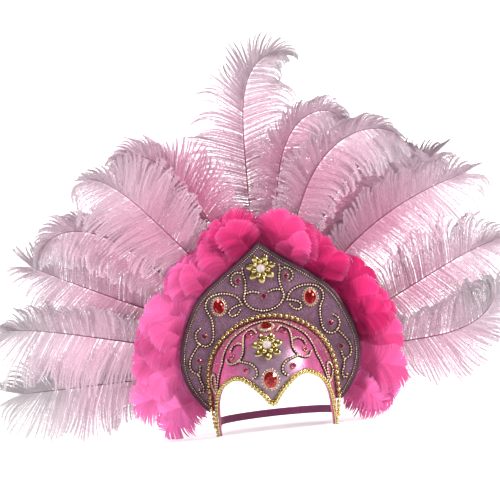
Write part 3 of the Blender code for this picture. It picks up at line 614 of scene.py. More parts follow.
def panel_spot(across, down):
    """A point of the panel's drawing as (x, z)."""
    x = across * PANEL_HALF_WIDTH / PANEL_SQUARES_ACROSS
    below = down - PANEL_CROWN_SQUARE
    if below > 0:
        return x, -below * PANEL_DROP / (PANEL_SQUARES_DOWN - PANEL_CROWN_SQUARE)
    return x, -below * PANEL_RISE / PANEL_CROWN_SQUARE


def cap_spot(across, down):
    """A point of the cap's drawing as (x, z)."""
    x = across * CAP_HALF_WIDTH / CAP_SQUARES_ACROSS
    return x, -(down - CAP_FIRST_SQUARE) * CAP_DROP / CAP_SQUARES_DOWN


def cap_skin(x, z):
    """The cap's outer surface in front of (x, z)."""
    left = 1 - (x / CAP_HALF_WIDTH) ** 2 - (max(z + HEAD_RISE, 0) / CAP_RISE) ** 2
    return Vector((x, -CAP_HALF_DEPTH * math.sqrt(max(left, 0)), z))


def cap_normal(point):
    """The way out of the cap at a point of it."""
    height = max(point.z + HEAD_RISE, 0)
    across = point.x / CAP_HALF_WIDTH**2
    return Vector((across, point.y / CAP_HALF_DEPTH**2, height / CAP_RISE**2)).normalized()


def spaced_between(points, per_gap):
    """A smooth curve with the same number of points in each gap between the given ones."""
    points = [Vector(p) for p in points]
    padded = [2 * points[0] - points[1]] + points + [2 * points[-1] - points[-2]]
    fine = []
    for i in range(1, len(padded) - 2):
        a, b, c, d = padded[i - 1 : i + 3]
        for k in range(per_gap):
            t = k / per_gap
            square = (2 * a - 5 * b + 4 * c - d) * t**2
            cube = (3 * (b - c) + d - a) * t**3
            fine.append(0.5 * (2 * b + (c - a) * t + square + cube))
    fine.append(points[-1])
    return fine


def smooth_route(points, step):
    """Points at about equal steps along a smooth curve through the given ones."""
    fine = spaced_between(points, 12)
    lengths = [0.0]
    for a, b in zip(fine[:-1], fine[1:]):
        lengths.append(lengths[-1] + (b - a).length)
    count = max(2, round(lengths[-1] / step))
    route = []
    at = 0
    for k in range(count + 1):
        want = lengths[-1] * k / count
        while at < len(fine) - 2 and lengths[at + 1] < want:
            at += 1
        span = max(lengths[at + 1] - lengths[at], 1e-9)
        route.append(fine[at].lerp(fine[at + 1], min((want - lengths[at]) / span, 1)))
    return route


def mirrored(points):
    """The same points on the other side of the centre line."""
    return [(-p[0], *p[1:]) for p in points]


def both_sides(half):
    """A route that runs from the left end through the centre line to the right end."""
    return mirrored(half[:0:-1]) + list(half)


def on_panel(across, down, lift):
    """A place in front of the panel, lifted off it."""
    x, z = panel_spot(across, down)
    return Vector((x, PANEL_FRONT - CLEARANCE - lift, z))


def on_cap(across, down, lift):
    """A place on the cap's outside, lifted off it."""
    point = cap_skin(*cap_spot(across, down))
    return point + cap_normal(point) * (CLEARANCE + lift)


def panel_edge():
    """The right half of the panel's outline, from the peak to the leg, as (x, 0, z)."""
    corners = []
    for across, down in PANEL_OUTLINE:
        x, z = panel_spot(across, down)
        corners.append((x, 0, z))
    return smooth_route(corners, EDGE_STEP)


def edge_normal(edge, i):
    """The way out of the half outline at one of its points."""
    if i == 0:
        return Vector((0, 0, 1))
    along = edge[min(i + 1, len(edge) - 1)] - edge[i - 1]
    return Vector((-along.z, 0, along.x)).normalized()


def edge_at(edge, share):
    """Point and outward normal at a share of the half outline."""
    place = share * (len(edge) - 1)
    i = min(int(place), len(edge) - 2)
    part = place - i
    normal = edge_normal(edge, i).lerp(edge_normal(edge, i + 1), part).normalized()
    return edge[i].lerp(edge[i + 1], part), normal


def axes_matrix(x, y, z, place):
    """A frame from its three axes and its place."""
    return Matrix((
        (x.x, y.x, z.x, place.x),
        (x.y, y.y, z.y, place.y),
        (x.z, y.z, z.z, place.z),
        (0, 0, 0, 1),
    ))


def seat_matrix(place, normal):
    """A frame whose local Z points along the normal and whose local Y points up the surface."""
    side = Vector((0, 0, 1)).cross(normal).normalized()
    return axes_matrix(side, normal.cross(side), normal, place)


def panel_seat(across, down):
    """A frame on the panel's front."""
    return seat_matrix(on_panel(across, down, 0), Vector((0, -1, 0)))


def cap_seat(across, down):
    """A frame on the cap's outside."""
    return seat_matrix(on_cap(across, down, 0), cap_normal(cap_skin(*cap_spot(across, down))))


def add_piece(name, mesh, slot, replaced, *keys):
    """Adds a finished mesh as a piece of the headdress in place of CAD nodes."""
    made = bpy.data.objects.new(name, mesh)
    bpy.context.scene.collection.objects.link(made)
    for key in keys:
        mesh.materials.append(finish(key))
    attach(made, "root")
    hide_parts(*replaced)


def mesh_of(name, bm, smooth=True):
    """A mesh from a bmesh, merged and facing outwards."""
    bmesh.ops.remove_doubles(bm, verts=bm.verts, dist=1e-7)
    bmesh.ops.recalc_face_normals(bm, faces=bm.faces)
    mesh = bpy.data.meshes.new(name)
    bm.to_mesh(mesh)
    bm.free()
    if smooth:
        mesh.shade_smooth()
    else:
        mesh.shade_flat()
    return mesh


def arrays_of(bm):
    """A bmesh's points and triangles as arrays; the bmesh is freed."""
    bmesh.ops.triangulate(bm, faces=bm.faces)
    bmesh.ops.recalc_face_normals(bm, faces=bm.faces)
    bm.verts.index_update()
    points = np.array([v.co for v in bm.verts])
    faces = np.array([[v.index for v in f.verts] for f in bm.faces])
    bm.free()
    return points, faces


def ball_arrays(sides, rows):
    """A ball of radius one."""
    bm = bmesh.new()
    bmesh.ops.create_uvsphere(bm, u_segments=sides, v_segments=rows, radius=1)
    return arrays_of(bm)


def repeated(shape, matrices):
    """Copies of one small shape at many places, as joined arrays."""
    points, faces = shape
    grid = np.array([[list(row) for row in m] for m in matrices])
    moved = np.einsum("mij,pj->mpi", grid[:, :3, :3], points) + grid[:, None, :3, 3]
    shift = np.arange(len(grid))[:, None, None] * len(points)
    return moved.reshape(-1, 3), (faces[None] + shift).reshape(-1, 3)


def joined(parts):
    """Several (points, faces) arrays as one."""
    points = []
    faces = []
    start = 0
    for some_points, some_faces in parts:
        points.append(some_points)
        faces.append(some_faces + start)
        start += len(some_points)
    return np.concatenate(points), np.concatenate(faces)


def mesh_from_arrays(name, points, faces):
    """A smooth mesh from points and triangles."""
    mesh = bpy.data.meshes.new(name)
    mesh.vertices.add(len(points))
    mesh.vertices.foreach_set("co", np.asarray(points, np.float32).ravel())
    mesh.loops.add(faces.size)
    mesh.loops.foreach_set("vertex_index", faces.ravel().astype(np.int32))
    mesh.polygons.add(len(faces))
    mesh.polygons.foreach_set("loop_start", np.arange(0, faces.size, 3, dtype=np.int32))
    mesh.polygons.foreach_set("use_smooth", np.ones(len(faces), bool))
    mesh.update(calc_edges=True)
    mesh.validate()
    return mesh


def along_route(route, radius):
    """One matrix at each point of a route: local Z along the route, scaled to a radius."""
    placed = []
    for i, place in enumerate(route):
        along = (route[min(i + 1, len(route) - 1)] - route[max(i - 1, 0)]).normalized()
        turn = along.to_track_quat("Z", "Y").to_matrix().to_4x4()
        placed.append(Matrix.Translation(place) @ turn @ Matrix.Scale(radius, 4))
    return placed


def tube_arrays(route, radii, sides):
    """A closed tube along a route by spinning a ring of points from station to station."""
    bm = bmesh.new()
    rings = []
    for matrix, radius in zip(along_route(route, 1.0), radii):
        made = bmesh.ops.create_circle(bm, segments=sides, radius=radius, matrix=matrix)
        rings.append(made["verts"])
    for a, b in zip(rings[:-1], rings[1:]):
        for k in range(sides):
            bm.faces.new((a[k], a[(k + 1) % sides], b[(k + 1) % sides], b[k]))
    bm.faces.new(rings[0])
    bm.faces.new(rings[-1])
    return arrays_of(bm)


def band_arrays(route, normals, half_width, half_height):
    """A flat band lying along a route on a surface with the given normals."""
    bm = bmesh.new()
    rings = []
    for i, (place, normal) in enumerate(zip(route, normals)):
        along = (route[min(i + 1, len(route) - 1)] - route[max(i - 1, 0)]).normalized()
        beside = along.cross(normal).normalized()
        ring = []
        for k in range(6):
            turn = math.pi / 3 * k
            ring.append(bm.verts.new(
                place + beside * half_width * math.cos(turn) + normal * half_height * math.sin(turn)
            ))
        rings.append(ring)
    for a, b in zip(rings[:-1], rings[1:]):
        for k in range(6):
            bm.faces.new((a[k], a[(k + 1) % 6], b[(k + 1) % 6], b[k]))
    bm.faces.new(rings[0])
    bm.faces.new(rings[-1])
    return arrays_of(bm)


def beaded_braid(route, normals, radius, small, gap):
    """Domes at every place of a route, with a pair of small balls beside each gap between them."""
    domes = []
    smalls = []
    for i, (place, normal) in enumerate(zip(route, normals)):
        domes.append(Matrix.Translation(place) @ Matrix.Scale(radius[i], 4))
        if i + 1 == len(route):
            continue
        along = (route[i + 1] - place).normalized()
        beside = along.cross(normal).normalized()
        for side in (-1, 1):
            spot = place.lerp(route[i + 1], 0.5) + beside * side * gap * radius[i] - normal * 0.3 * radius[i]
            smalls.append(Matrix.Translation(spot) @ Matrix.Scale(small * radius[i], 4))
    return joined([repeated(ball_arrays(12, 8), domes), repeated(ball_arrays(8, 5), smalls)])


def cap_columns(step):
    """Finely spaced columns of the cap: (back edge, hem), each as (x, z), left to right."""
    edges = []
    hems = []
    for i, (across, down) in enumerate(DOME_HEM):
        turn = math.pi / 2 * i / (len(DOME_HEM) - 1)
        edges.append((CAP_HALF_WIDTH * math.sin(turn), CAP_RISE * math.cos(turn) - HEAD_RISE, 0))
        hems.append((*cap_spot(across, down), 0))
    for edge_across, edge_down, across, down in FLAP_COLUMNS:
        edges.append((*cap_spot(edge_across, edge_down), 0))
        hems.append((*cap_spot(across, down), 0))
    return list(zip(spaced_between(both_sides(edges), step), spaced_between(both_sides(hems), step)))


def build_cap():
    """The cap in one smooth shell with a wall, from the back edge down to the hem."""
    columns = cap_columns(4)
    rows_down = 24
    bm = bmesh.new()
    rows = []
    for edge, hem in columns:
        row = []
        for k in range(rows_down + 1):
            share = 1 - math.cos(math.pi / 2 * k / rows_down)
            row.append(bm.verts.new(cap_skin(*edge.lerp(hem, share)[:2])))
        rows.append(row)
    for a, b in zip(rows[:-1], rows[1:]):
        for k in range(rows_down):
            bm.faces.new((a[k], b[k], b[k + 1], a[k + 1]))
    grown = bmesh.ops.extrude_face_region(bm, geom=list(bm.faces))
    for vert in grown["geom"]:
        if isinstance(vert, bmesh.types.BMVert):
            vert.co -= cap_normal(vert.co) * CAP_WALL
    add_piece("satin_cap", mesh_of("satin_cap", bm), "satin", ["cap_shell"], "satin")


def build_crest_panel():
    """The flat board with its glitter cloth, and a rolled edge of darker cloth."""
    edge = panel_edge()
    leg = panel_spot(0, PANEL_SQUARES_DOWN)[1]
    outline = []
    for i, point in enumerate(edge):
        outline.append(point - edge_normal(edge, i) * PANEL_ROLL_INSET)
    outline[0].x = 0.0
    arch = [Vector((HEAD_HALF_WIDTH * 1.002, 0, leg))]
    for i in range(49):
        turn = math.pi / 2 * (1 - i / 48)
        arch.append(Vector((HEAD_HALF_WIDTH * math.sin(turn), 0, HEAD_RISE * (math.cos(turn) - 1))))
    right = outline + arch
    left = [Vector((-p.x, 0, p.z)) for p in right[1:-1]]
    bm = bmesh.new()
    ring = [bm.verts.new(p + Vector((0, PANEL_FRONT, 0))) for p in right + left[::-1]]
    front = bm.faces.new(ring)
    grown = bmesh.ops.extrude_face_region(bm, geom=[front])
    verts = [v for v in grown["geom"] if isinstance(v, bmesh.types.BMVert)]
    bmesh.ops.translate(bm, verts=verts, vec=(0, PANEL_THICKNESS, 0))
    bmesh.ops.triangulate(bm, faces=bm.faces)
    board = mesh_of("crest_panel_cloth", bm, smooth=False)
    add_piece("crest_panel_cloth", board, "glitter_cloth", ["crest_panel"], "cloth")
    roll = []
    middle = PANEL_FRONT + PANEL_THICKNESS / 2
    for side, points in ((-1, outline[:0:-1]), (1, outline)):
        for point in points:
            roll.append(Vector((side * point.x, middle, point.z)))
    points, faces = tube_arrays(roll, [PANEL_ROLL_RADIUS] * len(roll), 10)
    points[:, 1] = middle + (points[:, 1] - middle) * 0.86
    mesh = mesh_from_arrays("crest_panel_rolled_edge", points, faces)
    add_piece("crest_panel_rolled_edge", mesh, "glitter_cloth", ["crest_panel"], "piping")


def panel_chain(points, step):
    """A chain's places on the panel."""
    radius = sizes().chain_ball
    return smooth_route([on_panel(*p, radius) for p in points], step)


def cap_chain(points, step):
    """A chain's places on the cap."""
    flat = smooth_route([(*p, 0) for p in points], 1.5)
    return smooth_route([on_cap(p.x, p.y, sizes().chain_ball) for p in flat], step)


def chain_routes(step):
    """Each CAD chain's name with its routes."""
    edge = panel_edge()
    heart = [panel_chain(mirrored(HEART_SIDE) + HEART_SIDE[-2::-1], step)]
    for half in (HEART_CURL, HEART_TOP):
        heart += [panel_chain(half, step), panel_chain(mirrored(half), step)]
    routes = {"panel_heart_chain": heart}
    for side, turn in (("right", list), ("left", mirrored)):
        scroll = (WAVE, LEAF_LOOP, LOWER_CURL, LOWER_BRANCH)
        routes[f"panel_scroll_{side}"] = [panel_chain(turn(part), step) for part in scroll]
        scroll = (CAP_SCROLL, CAP_SPIRAL, CAP_LOW_CURL)
        routes[f"cap_scroll_{side}"] = [cap_chain(turn(part), step) for part in scroll]
    arc = (both_sides(CAP_ARC), CAP_TEMPLE_LEAF, mirrored(CAP_TEMPLE_LEAF))
    routes["cap_arc_chain"] = [cap_chain(part, step) for part in arc]
    half = []
    for i in range(1, 48):
        point, normal = edge_at(edge, i / 48)
        half.append(point - normal * EDGE_LINE_INSET)
    rise = edge[1] - edge[0]
    peak = edge[0] - Vector((0, 0, EDGE_LINE_INSET * rise.length / rise.x))
    line = [Vector((-p.x, 0, p.z)) for p in half[::-1]] + [peak] + half
    depth = Vector((0, PANEL_FRONT - CLEARANCE - sizes().chain_ball, 0))
    routes["panel_edge_chain"] = [smooth_route([p + depth for p in line], step * 0.8)]
    return routes


def build_ball_chains():
    """The fine ball chains: low balls at an even pitch on a narrow dark tape, which stands in for the thread
    and also for painted shadow round the balls.
    """
    ball = ball_arrays(10, 6)
    radius = sizes().chain_ball
    for name, routes in chain_routes(sizes().chain_pitch).items():
        share = 0.62 if name == "panel_edge_chain" else 1.0
        parts = []
        tapes_and_shadows = []
        for route in routes:
            if name.startswith("cap"):
                normals = [cap_normal(place) for place in route]
            else:
                normals = [Vector((0, -1, 0))] * len(route)
            parts.append(repeated(ball, along_route(route, radius * share)))
            laid = [place - normal * (radius - 0.0006) for place, normal in zip(route, normals)]
            # A dark band under the balls and wider than them: partly the thread, partly painted shadow round
            # the balls.
            tapes_and_shadows.append(band_arrays(laid, normals, radius * share * 1.5, 0.0005))
        mesh = two_finish_mesh(f"{name}_balls", joined(parts), joined(tapes_and_shadows))
        mesh.shade_smooth()
        add_piece(f"{name}_balls", mesh, "ball_chain", [name], "chain", "wire")


def arc_route(step):
    """The line of the large beads, from the left flap over the crown to the right flap."""
    lift = ARC_LIFT + CLEARANCE
    level = PANEL_FRONT - 2 * CLEARANCE - ARC_LIFT
    leg = panel_spot(0, PANEL_SQUARES_DOWN)[1]
    half = []
    for i in range(13):
        turn = math.pi / 2 * i / 12
        x = (CAP_HALF_WIDTH + lift) * math.sin(turn)
        half.append((x, level, (CAP_RISE + lift) * math.cos(turn) - HEAD_RISE))
    half.append((CAP_HALF_WIDTH + lift, level, (leg - HEAD_RISE) / 2))
    half.append((CAP_HALF_WIDTH + lift, level, leg))
    for across, down in ARC_TAIL:
        half.append(tuple(on_cap(across, down, ARC_LIFT)))
    return smooth_route(both_sides(half), step), leg


def build_arc_beads():
    """Large gold beads where the cap meets the panel, smaller down the flaps."""
    size = sizes().arc_bead
    route, leg = arc_route(size * 2.35)
    radii = []
    normals = []
    for i, place in enumerate(route):
        if place.z < leg:
            normals.append(cap_normal(place))
            radii.append(size * 0.78)
            route[i] = place - normals[-1] * FLAP_BEAD_INSET
        else:
            normals.append(Vector((0, -1, 0)))
            radii.append(size)
    parts = [beaded_braid(route, normals, radii, 0.34, 0.85), tube_arrays(route, [0.0007] * len(route), 6)]
    for pick in (slice(0, 4), slice(-4, None)):
        laid = [place - normal * FLAP_BAND_INSET for place, normal in zip(route[pick], normals[pick])]
        parts.append(band_arrays(laid, normals[pick], size, 0.0006))
    mesh = mesh_from_arrays("arc_gold_beads", *joined(parts))
    add_piece("arc_gold_beads", mesh, "gold", ["arc_trim"], "gold")


def hem_route(step):
    """The line of the hem's braid, from flap to flap."""
    half = list(DOME_HEM) + [(across, down) for _, _, across, down in FLAP_COLUMNS]
    flat = smooth_route([(*p, 0) for p in both_sides(half)], 1.5)
    laid = [on_cap(p.x, p.y, HEM_LIFT) for p in flat]
    return smooth_route(laid, step)


def build_hem_braid():
    """The hem's gold braid: one row of beads with small ones on both sides, on a narrow band."""
    radius = sizes().hem_bead
    route = hem_route(radius * 2.35)
    normals = [cap_normal(place) for place in route]
    laid = [place - normal * HEM_BAND_INSET for place, normal in zip(route, normals)]
    band = band_arrays(laid, normals, radius * 1.35, 0.0009)
    braid = beaded_braid(route, normals, [radius] * len(route), 0.46, 1.25)
    mesh = mesh_from_arrays("hem_gold_braid", *joined([braid, band]))
    add_piece("hem_gold_braid", mesh, "gold", ["hem_trim"], "gold")


def turned_disc(width, length, size, sides, rings):
    """A closed shape of stacked rings, given as (height share, width share) from its flat back up."""
    bm = bmesh.new()
    start = bmesh.ops.create_circle(bm, cap_ends=True, segments=sides, radius=1)
    bmesh.ops.rotate(bm, verts=start["verts"], matrix=Matrix.Rotation(math.pi / sides, 3, "Z"))
    at_height, at_share = rings[0]
    bmesh.ops.scale(bm, verts=start["verts"], vec=(width / 2 * at_share, length / 2 * at_share, 1))
    face = list(bm.faces)[0]
    back = face
    for height, share in rings[1:]:
        grown = bmesh.ops.extrude_face_region(bm, geom=[face])
        if face is not back:
            bmesh.ops.delete(bm, geom=[face], context="FACES_ONLY")
        verts = [v for v in grown["geom"] if isinstance(v, bmesh.types.BMVert)]
        face = [f for f in grown["geom"] if isinstance(f, bmesh.types.BMFace)][0]
        ratio = share / at_share
        bmesh.ops.scale(bm, verts=verts, vec=(ratio, ratio, 1))
        bmesh.ops.translate(bm, verts=verts, vec=(0, 0, (height - at_height) * size))
        at_height = height
        at_share = share
    return bm


def cut_stone(width, length, size, sides):
    """A cut stone: girdle, two rows of facets turned against each other, and a flat table."""
    bm = turned_disc(width, length, size, sides, [(0, 0.90), (0.30, 1.0), (0.36, 1.0), (1.0, 0.58)])
    top = max(bm.faces, key=lambda f: f.calc_center_median().z)
    bmesh.ops.bevel(
        bm, geom=list(top.verts), offset=width * 0.09, offset_type="OFFSET", segments=1,
        profile=0.5, affect="VERTICES", material=-1,
    )
    return bm


def placed_arrays(bm, seat, lift=0.0):
    """A bmesh's arrays, moved to a seat."""
    bmesh.ops.transform(bm, matrix=seat @ Matrix.Translation((0, 0, lift)), verts=bm.verts)
    return arrays_of(bm)


def two_finish_mesh(name, first, second):
    """One mesh of two parts, the first flat and cut, the second smooth, with two material slots."""
    mesh = mesh_from_arrays(name, *joined([first, second]))
    is_second = np.arange(len(mesh.polygons)) >= len(first[1])
    mesh.polygons.foreach_set("use_smooth", is_second)
    mesh.polygons.foreach_set("material_index", is_second.astype(np.int32))
    return mesh


def oval_stone(name, seat, scale):
    """A faceted red oval in a gold cup, with a border of small gold balls round it."""
    width = OVAL_WIDTH * scale
    length = OVAL_LENGTH * scale
    stone = placed_arrays(cut_stone(width, length, 0.0046, 14), seat, 0.0014)
    cup = turned_disc(width * 1.12, length * 1.1, 0.0030, 28, [
        (0, 0.96), (0.3, 1.0), (1.0, 0.985), (1.0, 0.88), (0.6, 0.86),
    ])
    metal = [placed_arrays(cup, seat)]
    count = 20
    balls = []
    for i in range(count):
        turn = 2 * math.pi * i / count
        spot = Vector((width * 0.645 * math.cos(turn), length * 0.615 * math.sin(turn), 0.0012))
        balls.append(seat @ Matrix.Translation(spot) @ Matrix.Scale(0.00125, 4))
    metal.append(repeated(ball_arrays(10, 6), balls))
    mesh = two_finish_mesh(f"{name}_set", stone, joined(metal))
    add_piece(f"{name}_set", mesh, "red_stone", [name], "red", "chain")


def build_oval_stones():
    """The two red ovals of the panel and the two of the cap."""
    for side, sign in (("left", -1), ("right", 1)):
        across, down = PANEL_OVAL
        oval_stone(f"oval_stone_panel_{side}", panel_seat(sign * across, down), 1.0)
    for name, down, scale in CAP_OVALS:
        oval_stone(name, cap_seat(0, down), scale)


def round_stone(name, seat, glass):
    """A small faceted stone, of one of the glasses, held in a gold cup by four claws."""
    stone = placed_arrays(cut_stone(ROUND_WIDTH, ROUND_WIDTH, 0.0026, 10), seat, 0.0006)
    cup = turned_disc(ROUND_CUP_WIDTH, ROUND_CUP_WIDTH, 0.0018, 20, [
        (0, 0.90), (0.4, 1.0), (1.0, 0.97), (1.0, 0.86), (0.5, 0.84),
    ])
    metal = [placed_arrays(cup, seat)]
    claws = []
    for i in range(4):
        turn = math.pi / 4 + math.pi / 2 * i
        spot = Vector((0.0034 * math.cos(turn), 0.0034 * math.sin(turn), 0.0019))
        claws.append(seat @ Matrix.Translation(spot) @ Matrix.Scale(0.0005, 4))
    metal.append(repeated(ball_arrays(8, 4), claws))
    mesh = two_finish_mesh(f"{name}_set", stone, joined(metal))
    add_piece(f"{name}_set", mesh, "fuchsia_stone", [name], glass, "gold")


def build_round_stones():
    """The small round stones, wine on the panel and pink on the cap."""
    families = (("panel", PANEL_ROUNDS, panel_seat, "wine"), ("cap", CAP_ROUNDS, cap_seat, "pink"))
    for family, rows, seat, glass in families:
        for i, (across, down) in enumerate(rows):
            for side, sign in (("left", -1), ("right", 1)):
                if across == 0 and sign > 0:
                    continue
                name = f"round_stone_{family}_{i}_{side if across else 'centre'}"
                round_stone(name, seat(sign * across, down), glass)


def petal(length, width, rise, dome):
    """A domed teardrop petal along +X, widest past its middle, with a low crease, thickened."""
    bm = bmesh.new()
    bmesh.ops.create_grid(bm, x_segments=9, y_segments=6, size=0.5)
    for vert in bm.verts:
        along = vert.co.x + 0.5
        side = vert.co.y * 2
        profile = math.sin(math.pi * min(max(along, 0.0), 1.0) ** 1.45) ** 0.62 if 0 < along < 1 else 0.0
        half = width / 2 * max(profile, 0.04 + 0.30 * (1 - along) ** 2)
        z = rise * math.sin(math.pi * 0.60 * along)
        z += dome * profile * (1 - side**2) - 0.25 * dome * profile * max(0.0, 1 - abs(side) * 3)
        vert.co = Vector((length * (0.10 + 0.90 * along), side * half, z))
    bmesh.ops.recalc_face_normals(bm, faces=bm.faces)
    bmesh.ops.solidify(bm, geom=list(bm.faces), thickness=0.0005)
    return bm


def gold_flower(name, seat, pearl_name):
    """Two rings of seven pointed petals, a collar of small balls and a pearl in the middle."""
    size = sizes().flower
    parts = []
    for i in range(14):
        raised = i % 2
        length = size * (0.64 if raised else 1.0)
        leaf = petal(length, size * (0.34 if raised else 0.50), size * (0.30 if raised else 0.16), 0.0022)
        turn = Matrix.Rotation(2 * math.pi * (i + 0.5) / 14, 4, "Z")
        lift = Matrix.Translation((0, 0, 0.0018 if raised else 0.0007))
        parts.append(placed_arrays(leaf, seat @ lift @ turn))
    base = turned_disc(size * 0.62, size * 0.62, 0.0022, 24, [(0, 0.8), (0.5, 1.0), (1.0, 0.7)])
    parts.append(placed_arrays(base, seat, 0.0003))
    balls = []
    for i in range(14):
        turn = 2 * math.pi * i / 14
        spot = Vector((size * 0.30 * math.cos(turn), size * 0.30 * math.sin(turn), 0.0042))
        balls.append(seat @ Matrix.Translation(spot) @ Matrix.Scale(0.00105, 4))
    parts.append(repeated(ball_arrays(10, 6), balls))
    mesh = mesh_from_arrays(f"{name}_petals", *joined(parts))
    add_piece(f"{name}_petals", mesh, "gold", [name], "gold")
    bm = bmesh.new()
    bmesh.ops.create_uvsphere(bm, u_segments=16, v_segments=12, radius=sizes().pearl)
    lift = Matrix.Translation((0, 0, sizes().pearl + 0.0010))
    bmesh.ops.transform(bm, matrix=seat @ lift, verts=bm.verts)
    pearl = mesh_of(f"{pearl_name}_round", bm)
    add_piece(f"{pearl_name}_round", pearl, "pearl", [pearl_name], "pearl")


def build_flowers():
    """The panel's flower, and the cap's, which is lifted a little and turned towards the front."""
    gold_flower("flower_panel", panel_seat(0, PANEL_FLOWER_DOWN), "pearl_panel")
    lift = Matrix.Translation((0, 0, CAP_FLOWER_LIFT))
    turn = Matrix.Rotation(CAP_FLOWER_TILT, 4, "X")
    gold_flower("flower_cap", cap_seat(0, CAP_FLOWER_DOWN) @ lift @ turn, "pearl_cap")


def ease(share):
    """Rises smoothly from 0 to 1."""
    share = np.clip(share, 0, 1)
    return share * share * (3 - 2 * share)


def fan_depth(x, z):
    """How far back the fan of plumes lies: it leans back, and its tips come forward again."""
    out = np.maximum(0.0, (np.hypot(x, z + FAN_INNER / 3) - FAN_INNER) / FAN_SPAN)
    return FAN_LEAN * out - FAN_CURL * out**3


def quill_heading(plume, share):
    """Which way the quill points at a share of its length."""
    return np.radians(plume.start + (plume.end - plume.start) * share**plume.late)


def quill_line(plume):
    """The quill at even steps: shares, x, z and headings."""
    headings = quill_heading(plume, (np.arange(QUILL_STEPS) + 0.5) / QUILL_STEPS)
    x, z = panel_spot(plume.across, plume.down)
    stride = plume.length * PLUME_LENGTH / QUILL_STEPS
    xs = x + np.concatenate([[0], np.cumsum(np.sin(headings))]) * stride
    zs = z + np.concatenate([[0], np.cumsum(np.cos(headings))]) * stride
    at = np.arange(QUILL_STEPS + 1) / QUILL_STEPS
    return at, xs, zs, quill_heading(plume, at)


def quill_depth(plume, share):
    """How far back the quill lies: it leaves its seat for the plume's own layer."""
    layer = FIRST_LAYER + plume.layer * PLUME_LAYER_PITCH
    return QUILL_SEAT + (layer - QUILL_SEAT) * ease(share / QUILL_SHARE)


def vane_reach(share):
    """The vane's width along the quill: narrower at both ends."""
    along = (share - QUILL_SHARE) / (1 - QUILL_SHARE)
    return 0.66 + 0.34 * ease(along / 0.40) - 0.34 * ease((along - 0.72) / 0.28)


def pulled_to_locks(curves, rng, smallest, largest, pull, start):
    """Bends the ends of neighbouring barbs together into locks, each lock to its middle barb."""
    count, steps = curves.shape[:2]
    t = np.linspace(0, 1, steps)[None, :, None]
    at = 0
    while at < count:
        size = rng.randint(smallest, largest + 1)
        members = curves[at : at + size]
        middle = members.mean(axis=0, keepdims=True)
        amount = pull * rng.uniform(0.6, 1.1) * ease((t - start) / (1 - start))
        curves[at : at + size] = members + (middle - members) * np.minimum(amount, 0.95)
        at += size
    return curves


def unit(vectors):
    """Vectors scaled to length one."""
    return vectors / (np.linalg.norm(vectors, axis=-1, keepdims=True) + 1e-12)


def ribbons(curves, widths, tilt):
    """Tapered ribbons along many curves (n, k, 3). Widths are (n, k); tilt turns each out of plane."""
    along = unit(np.gradient(curves, axis=1))
    beside = unit(np.cross(along, DEPTH_WAY))
    out = np.cross(along, beside)
    beside = beside * np.cos(tilt)[:, None, None] + out * np.sin(tilt)[:, None, None]
    half = beside * widths[..., None] / 2
    points = np.stack([curves - half, curves + half], axis=2)
    count, steps = widths.shape
    index = np.arange(count * steps * 2).reshape(count, steps, 2)
    a, b = index[:, :-1, 0], index[:, :-1, 1]
    c, d = index[:, 1:, 0], index[:, 1:, 1]
    faces = np.stack([np.stack([a, b, d], -1), np.stack([a, d, c], -1)], axis=2)
    return points.reshape(-1, 3), faces.reshape(-1, 3)


def barbules(curves, rng):
    """Tiny one-triangle hairs on both sides of each barb, pointing towards its end."""
    count, steps = curves.shape[:2]
    hairs = (count, HAIRS_PER_BARB)
    along = unit(np.gradient(curves, axis=1))
    spot = 0.05 + 0.93 * rng.rand(*hairs)
    place = spot * (steps - 1)
    low = np.minimum(place.astype(int), steps - 2)
    part = (place - low)[..., None]
    row = np.arange(count)[:, None]
    root = curves[row, low] * (1 - part) + curves[row, low + 1] * part
    way = along[row, low]
    side = np.where(rng.rand(*hairs) < 0.5, -1.0, 1.0)
    beside = np.cross(way, DEPTH_WAY) * side[..., None]
    length = HAIR_LENGTH * rng.uniform(0.55, 1.1, hairs) * (1 - 0.25 * spot)
    angle = rng.uniform(0.6, 1.05, hairs)[..., None]
    tip = root + (way * np.cos(angle) + beside * np.sin(angle)) * length[..., None]
    tip[..., 1] += rng.uniform(-0.0012, 0.0012, hairs)
    base = way * HAIR_HALF_BASE
    points = np.stack([root - base, root + base, tip], axis=2).reshape(-1, 3)
    faces = np.arange(len(points)).reshape(-1, 3)
    return points, faces, spot


def set_attributes(mesh, out, own):
    """Stores two values for each point, which the feather finish reads."""
    for name, values in (("out", out), ("own", own)):
        layer = mesh.attributes.new(name, "FLOAT", "POINT")
        layer.data.foreach_set("value", np.asarray(values, np.float32).ravel())


def lock_noise(rng, count, run):
    """A value for each barb that changes smoothly from lock to lock."""
    knots = np.arange(0, count + run, run)
    return np.interp(np.arange(count), knots, rng.normal(0, 1, len(knots)))


